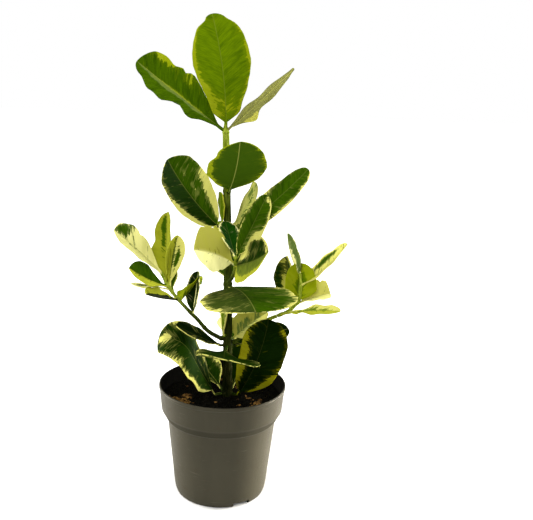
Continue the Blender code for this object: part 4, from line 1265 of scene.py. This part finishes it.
# %% Leaves on the shoots: share of the way along the shoot, blade, look
TOP_LEAVES = (
    (0.27, blade((181, 36, -41), (0.139, 0.070), (-4, -1, 1), (24, -5), (0.64, 1.12, 2.16),
         lobes=((-1, 0.72, -0.20, 0.07), (1, 0.34, 0.30, 0.06), (1, 0.53, -0.3, 0.08),
         (1, 0.66, 0.15, 0.06))),
     # Painted highlight: the grey patches just beside the midrib on the grey half stand for the glare on
     # the fold
     look("moss", ("lime", "grey"), -0.05, -0.30, ((0.80, -0.85, 0.12, 0.25, 1.6),
          (0.52, -0.70, 0.10, 0.22, 1.3), (0.42, -1.00, 0.08, 0.20, -0.5), (0.75, 0.10, 0.30, 0.13, 2.4),
          (0.35, 0.12, 0.30, 0.18, 2.6), (0.55, 0.10, 0.20, 0.14, 1.6)), ((-1, 0.93, 0.12, 0.05),
          (-1, 0.60, -0.14, 0.03), (1, 0.47, -0.26, 0.04), (1, 0.80, 0.16, 0.04), (1, 0.90, -0.16, 0.04)),
          rib=0.3)),
    (0.32, blade((357, 44, -29), (0.115, 0.041), (-2, 11, 1), (4, -19), (0.47, 0.63, 2.24),
         (0.0008, 2.7, 0.6), lobes=((1, 0.3, 0.8, 0.08),)),
     look("straw", "dust", 1.9, 1.9, ((0.60, 0.0, 2.0, 3.0, 1.6), (0.30, 0.80, 0.10, 0.25, -6.0)),
          ((1, 0.96, -0.35, 0.05), (-1, 0.96, -0.35, 0.05)))),
    (0.38, blade((111, 91, 1), (0.1435, 0.074), (15, -6, 12), (7, -1), (0.63, 0.74, 1.83),
         lobes=((1, 0.15, 0.35, 0.06), (-1, 0.15, 0.35, 0.06))),
     look("fresh", "lime", 0.02, 0.0, ((0.36, 0.76, 0.20, 0.26, 1.35), (0.70, 0.95, 0.20, 0.08, 1.3),
          (0.20, 0.0, 0.12, 1.20, 1.5), (0.65, -1.00, 0.10, 0.08, 1.8), (0.93, 0.0, 0.05, 0.30, 0.9)),
          ((1, 0.955, -0.30, 0.030), (1, 0.60, 0.05, 0.06), (-1, 0.86, 0.05, 0.05),
          (-1, 0.94, -0.10, 0.03)), rib=0.12)),
)
FRONT_SHOOT_LEAVES = (
    (0.80, blade((219, 38, -62), (0.068, 0.064), (20, 1, 19), (26, -4), (0.75, 1.15, 2.24),
         (0.0004, 3.4, 1.1)),
     # Painted shade: the straw half of this cream leaf is darker for the shade on the half that faces down
     look(("olive", "leaf"), ("straw", "cream"), 1.8, 1.9, nicks=((-1, 0.95, 0.2, 0.05),
          (1, 0.9, -0.12, 0.05), (-1, 0.72, -0.09, 0.03), (1, 0.74, 0.07, 0.04), (1, 0.55, -0.06, 0.04)),
          rib=0.8)),
    (0.78, blade((310, 16, 52), (0.081, 0.066), (-23, 7, 8), (15, 1), (0.44, 0.73, 1.95),
         (0.0006, 2.8, 0.2)),
     # Painted sheen: the slate half is a grey-olive green that stands for the soft sheen on that half
     look(("slate_sheen", "bottle"), ("lemon", "butter"), 0.22, 0.05, ((0.22, 0.60, 0.14, 0.45, 2.0),
          (0.95, 0.30, 0.06, 0.60, 1.8), (0.55, 0.95, 0.25, 0.12, 1.6), (0.60, 0.40, 0.25, 0.30, 0.6),
          (0.55, -0.85, 0.35, 0.22, 1.2)), rib=0.2)),
    (0.97, blade((128, 59, 13), (0.049, 0.035), (4, -5, -8), (8, 1), (0.67, 1.10, 1.96),
         (0.0006, 3.0, -0.8)),
     look("emerald", "cream", 0.11, 0.11, ((0.15, 0.5, 0.1, 0.4, 1.6),), rib=0.1)),
    (0.96, blade((48, 50, 54), (0.093, 0.033), (3, 2, 2), (23, -3), (0.49, 0.57, 2.16), (0.0006, 3.3, 0.4)),
     look("leaf", "butter", 0.04, 0.0, ((0.94, -0.50, 0.07, 0.35, 2.0), (0.78, -1.00, 0.20, 0.12, 1.4),
          (0.32, -0.75, 0.22, 0.50, 2.6)), rib=0.15)),
)
BACK_SHOOT_LEAVES = (
    (0.72, blade((138, 48, 20), (0.041, 0.030), (16, 0, 0), (14, 0)),
     look("fresh", "butter", 0.20, 0.30)),
    (0.74, blade((38, 44, -20), (0.043, 0.032), (16, 0, 0), (14, 0)),
     look("leaf", "lemon", 0.30, 0.10)),
    (0.97, blade((118, 52, 0), (0.046, 0.030), (18, 0, 0), (14, 0)),
     look("fresh", "lemon", 0.50, 0.60)),
    (0.96, blade((66, 40, 0), (0.052, 0.034), (14, 0, 0), (12, 0)),
     look("leaf", "butter", 0.20, 0.50)),
)
LEFT_SHOOT_LEAVES = (
    (0.13, blade((75, 66, -34), (0.058, 0.031), (1, -4, 4), (26, -8), (0.51, 0.82, 2.12)),
     look(("bottle", "deep"), "cream", 0.02, 0.02, ((0.45, -0.25, 0.40, 0.16, 2.4),), rib=0.1)),
    (0.43, blade((59, 28, -40), (0.048, 0.041), (24, 0, 9), (21, 6), (0.68, 0.56, 1.95),
         (0.0018, 1.3, 5.0)),
     look("fresh", "lime", 0.60, 0.60, ((0.92, 0.3, 0.07, 0.6, -1.6),))),
    (0.46, blade((221, 13, -15), (0.060, 0.030), (-14, 6, 8), (38, -12), (0.53, 1.33, 2.52),
         (0.0007, 3.7, 0.2)),
     look(("olive", "deep"), ("lemon", "olive"), 0.90, -0.05)),
    (0.70, blade((85, 71, 24), (0.070, 0.030), (-26, 3, -4), (33, 3), (0.69, 0.99, 2.03)),
     look("leaf", ("butter", "lemon"), 1.3, 1.2, ((0.55, -0.45, 0.22, 0.16, -2.6),
          (0.50, 0.0, 0.32, 0.10, -2.0)))),
    (0.72, blade((216, 21, -44), (0.067, 0.037), (-11, -1, -14), (25, -6), (0.70, 1.49, 1.91)),
     look(("leaf", "olive"), ("olive", "lemon"), -0.20, 0.90, rib=0.1)),
    (0.66, blade((190, 16, 12), (0.052, 0.028), (10, -6, 11), (5, -17), (0.71, 1.09, 2.91),
         (0.0009, 2.6, -1.1)),
     look("leaf", "cream", 1.4, 1.0, ((0.75, 0.3, 0.15, 0.4, -1.4),))),
    (0.80, blade((90, 67, -47), (0.094, 0.040), (5, -1, 8), (27, -1), (0.47, 0.58, 2.24),
         (0.0003, 2.0, 3.5), lobes=((1, 0.45, 0.22, 0.06),)),
     look(("fresh", "leaf"), "kiwi", 1.6, 1.5, ((0.80, 0.30, 0.14, 0.20, -2.4),
          (0.58, 0.25, 0.10, 0.12, -1.5)), ((1, 0.62, -0.10, 0.04), (1, 0.35, 0.16, 0.05)))),
    (0.97, blade((197, 49, -39), (0.088, 0.040), (3, 8, 10), (22, -9), (0.75, 0.83, 2.70),
         (0.0003, 3.5, 0.1), lobes=((-1, 0.72, 0.30, 0.12), (-1, 0.42, 0.30, 0.14))),
     look("leaf", "ivory", 1.9, 1.9, ((0.90, -0.50, 0.13, 0.40, -2.7), (0.70, -1.00, 0.15, 0.12, -1.0),
          (0.62, 0.20, 0.10, 0.12, -1.3)), ((1, 0.90, 0.10, 0.03), (-1, 0.60, -0.08, 0.03)))),
    (0.60, blade((112, 62, 0), (0.044, 0.022), (10, 0, 0), (14, 0)),
     look("leaf", "butter", 0.20, 0.20)),
)
RIGHT_SHOOT_LEAVES = (
    (0.07, blade((321, 23, 5), (0.098, 0.026), (13, 13, -5), (10, -4), (0.61, 1.47, 2.2),
         (0.0022, 2.9, 4.3)),
     look("fresh", ("lemon", "butter"), 0.70, 0.60, tip=0.9)),
    (0.30, blade((81, 49, -35), (0.076, 0.045), (-20, -13, 6), (32, 5), (0.61, 0.91, 1.91),
         (0.0005, 2.9, 0.5)),
     look("bottle", ("butter", "straw"), 0.40, -0.05, ((0.45, 0.32, 0.35, 0.26, 2.6),
          (0.15, 0.50, 0.15, 0.60, 2.0), (0.95, 0.50, 0.07, 0.60, 1.5)))),
    (0.46, blade((74, 74, 27), (0.054, 0.054), (-2, -15, -3), (36, 6), (0.43, 0.81, 2.33)),
     look("fresh", "lime", 1.2, 1.2, ((0.58, -0.20, 0.18, 0.18, -2.0), (0.45, 0.15, 0.15, 0.12, -1.2)))),
    (0.44, blade((3, 26, 28), (0.048, 0.044), (14, 14, -5), (40, 5), (0.76, 1.48, 2.2), (0.0009, 3.2, 0.4)),
     look("olive", ("cream", "butter"), 1.9, 1.9, nicks=((-1, 0.92, 0.20, 0.03), (1, 0.95, 0.20, 0.03),
          (1, 0.80, -0.16, 0.03), (-1, 0.80, -0.14, 0.03), (1, 0.62, 0.08, 0.03), (-1, 0.55, 0.08, 0.04)))),
    (0.76, blade((4, 31, 6), (0.083, 0.043), (-26, -7, 0), (20, -8), (0.48, 0.55, 1.97),
         (0.0007, 2.4, -1.1)),
     look("leaf", "butter", 1.4, 1.4, ((0.58, 0.62, 0.27, 0.22, -2.4),))),
    (0.96, blade((163, 55, 42), (0.058, 0.032), (-26, -10, 12), (25, -8), (0.50, 0.58, 2.2)),
     look("grey", "cream", 0.9, -0.02, ((0.42, 0.10, 0.36, 0.32, 2.2),))),
    (0.50, blade((84, 16, 0), (0.052, 0.030), (18, 0, 0), (14, 0)),
     look("leaf", "butter", 0.20, 0.20)),
)
print("leaves on the stem:", len(STEM_LEAVES))

# %% Grow them all
NECK_RADII = (0.0019, 0.0018, 0.0016)
NECK_SUNK = 0.0012
TWIG_JOINT_REACH = 0.03
TWIG_SIDES = 16
TWIG_RINGS = 90
CROWN = [(Vector(STEM_TOP) + Vector(offset), radius) for offset, radius in (
    ((0.0, 0.0, CLEAR), STEM_TOP_RADIUS),
    ((-0.0003, 0.0, 0.0055), 0.0042),
    ((-0.0006, 0.0, 0.0100), 0.0032),
    ((-0.0009, 0.0, 0.0145), 0.0022),
    ((-0.0011, -0.0003, 0.0180), 0.0010),
)]
SHOOTS = (
    ("top_leaves", CROWN, (0.75, 1.0), TOP_LEAVES),
    ("front_shoot", FRONT_LIMB, (0.4, 0.9), FRONT_SHOOT_LEAVES),
    ("back_shoot", BACK_LIMB, (0.4, 0.9), BACK_SHOOT_LEAVES),
    ("left_shoot", LEFT_SHOOT, (0.45, 0.95), LEFT_SHOOT_LEAVES),
    ("right_shoot", RIGHT_SHOOT, (0.74, 1.0), RIGHT_SHOOT_LEAVES),
)
number = 0
for name, height, azimuth, neck, leaf, its_look in STEM_LEAVES:
    number += 1
    start, end, further = [
        stem_foothold(height, azimuth, reach) for reach in (-NECK_SUNK, neck, neck + NECK_SUNK)
    ]
    mesh = LeafMesh()
    add_leaf(mesh, end, leaf, its_look, number)
    add_stalk(mesh, list(zip((start, end, further), NECK_RADII)), its_look)
    mesh.finish(name + "_blade", [name])
for name, path, youth, leaves in SHOOTS:
    relief = limb_relief(sorted({share for share, _, _ in leaves}), TWIG_JOINT_REACH, LIMB_SWELL)
    points, faces, young = tube(path, TWIG_SIDES, TWIG_RINGS, relief, youth)
    make_piece(name + "_twig", points, faces, rind.material, [name], {"youth": young})
    mesh = LeafMesh()
    for share, leaf, its_look in leaves:
        number += 1
        spot = share * (len(path) - 1)
        index = min(int(spot), len(path) - 2)
        root = path[index][0].lerp(path[index + 1][0], spot - index)
        add_leaf(mesh, root, leaf, its_look, number)
    mesh.finish(name + "_blades", [name])
print("leaves grown:", number)

# %% [markdown]
# ## Floor, light and camera
# The plant stands on pale paper in a white studio, as in a shop's picture. The room looks white to the
# camera, but gives little light itself, so that the waxy leaves mirror little and keep their deep greens.
# A broad light hangs above, one stands at each side and one in front. Two small warm ones, low at the
# sides and narrow in their beam, give the pot its pale edges.

# %% A pale floor
FLOOR_HALF = 4.0
LIT_FROM = 0.10
LIT_AT = 0.60
paper = Finish("pale_floor", specular=0.05)
where = paper.place()
away = paper.node("VectorMath", {"operation": "LENGTH"}, {0: where}, "Value")
paper.wear(paper.blend(paper.noise(where, 3.0), paint(238, 238, 236), paint(248, 248, 247)), 0.9)
seen = paper.node("LightPath", {}, {}, "Is Camera Ray")
glow = paper.rise(away, LIT_FROM, LIT_AT) * seen
paper.join(paper.shader.inputs["Emission Color"], paper.blend(glow, BLACK, WHITE))
paper.shader.inputs["Emission Strength"].default_value = 1.0
mesh = bpy.data.meshes.new("floor")
corners = [(-FLOOR_HALF, -FLOOR_HALF, 0), (FLOOR_HALF, -FLOOR_HALF, 0),
           (FLOOR_HALF, FLOOR_HALF, 0), (-FLOOR_HALF, FLOOR_HALF, 0)]
mesh.from_pydata(corners, [], [(0, 1, 2, 3)])
mesh.materials.append(paper.material)
floor = bpy.data.objects.new("floor", mesh)
bpy.context.scene.collection.objects.link(floor)
print("floor: %.0f m wide" % (2.0 * FLOOR_HALF))


# %% Soft light
WARM = (1.0, 0.92, 0.78)
EDGE_SIZE = (0.20, 0.14)
EDGE_SPREAD = 46.0
EDGE_HEIGHT = 0.06


def soft_light(name, place, aim_height, size, power, tint=(1.0, 1.0, 1.0), spread=180.0):
    lamp = bpy.data.lights.new(name, "AREA")
    lamp.shape = "RECTANGLE"
    lamp.size, lamp.size_y = size
    lamp.energy = power
    lamp.color = tint
    lamp.spread = math.radians(spread)
    holder = bpy.data.objects.new(name, lamp)
    holder.location = place
    aim = Vector((0.0, 0.0, aim_height)) - Vector(place)
    holder.rotation_euler = aim.to_track_quat("-Z", "Y").to_euler()
    holder.visible_camera = False
    bpy.context.scene.collection.objects.link(holder)


soft_light("top_light", (-0.35, -0.45, 1.9), 0.3, (1.2, 1.0), 22.0)
soft_light("left_light", (-1.25, 0.60, 0.55), 0.22, (0.7, 1.1), 25.0)
soft_light("right_light", (1.25, 0.50, 0.55), 0.22, (0.7, 1.1), 35.0)
soft_light("front_light", (-0.5, -2.2, 1.3), 0.3, (0.9, 0.7), 33.0)
for name, x, y, power in (("left_edge_light", -0.60, 0.20, 0.45), ("right_edge_light", 0.60, 0.14, 1.15)):
    soft_light(name, (x, y, EDGE_HEIGHT), EDGE_HEIGHT, EDGE_SIZE, power, WARM, EDGE_SPREAD)
print("lights:", len(bpy.data.lights))

# %% The white room
ROOM_LIGHT = 0.15
world = bpy.data.worlds.new("white_studio")
bpy.context.scene.world = world
world.use_nodes = True
studio = Graph(world.node_tree)
room = world.node_tree.nodes["Background"]
room.inputs["Color"].default_value = WHITE
seen = studio.node("LightPath", {}, {}, "Is Camera Ray")
studio.join(room.inputs["Strength"], ROOM_LIGHT + seen * (1.0 - ROOM_LIGHT))
scene = bpy.context.scene
scene.view_settings.view_transform = "Standard"
scene.view_settings.look = "None"
print("the room gives %.2f of the light that it shows" % ROOM_LIGHT)

# %% [markdown]
# The camera stands 1.2 m in front of the pot and looks down at it by sixteen degrees, turned and rolled
# very slightly. These were worked out from the ellipses of the pot's rim and foot.

# %% The camera
CAMERA_PLACE = Vector((0.0, -1.20, 0.668))
CAMERA_PITCH = math.radians(15.8)
CAMERA_YAW = math.radians(2.54)
CAMERA_ROLL = math.radians(2.1)
PICTURE_WIDTH = 533
FOCAL_LENGTH = 960.0
SENSOR = 36.0
NEAREST = 0.05

forward = Vector((
    math.sin(CAMERA_YAW) * math.cos(CAMERA_PITCH),
    math.cos(CAMERA_YAW) * math.cos(CAMERA_PITCH),
    -math.sin(CAMERA_PITCH),
))
level = Vector((math.cos(CAMERA_YAW), -math.sin(CAMERA_YAW), 0.0))
right, above = turned_pair(level, level.cross(forward), CAMERA_ROLL)
lens = bpy.data.cameras.new("camera")
lens.sensor_width = SENSOR
lens.lens = FOCAL_LENGTH * SENSOR / PICTURE_WIDTH
lens.clip_start = NEAREST
camera = bpy.data.objects.new("camera", lens)
facing = Matrix((right, above, -forward)).transposed()
camera.matrix_world = Matrix.Translation(CAMERA_PLACE) @ facing.to_4x4()
scene.collection.objects.link(camera)
scene.camera = camera
print("lens %.2f mm" % lens.lens)
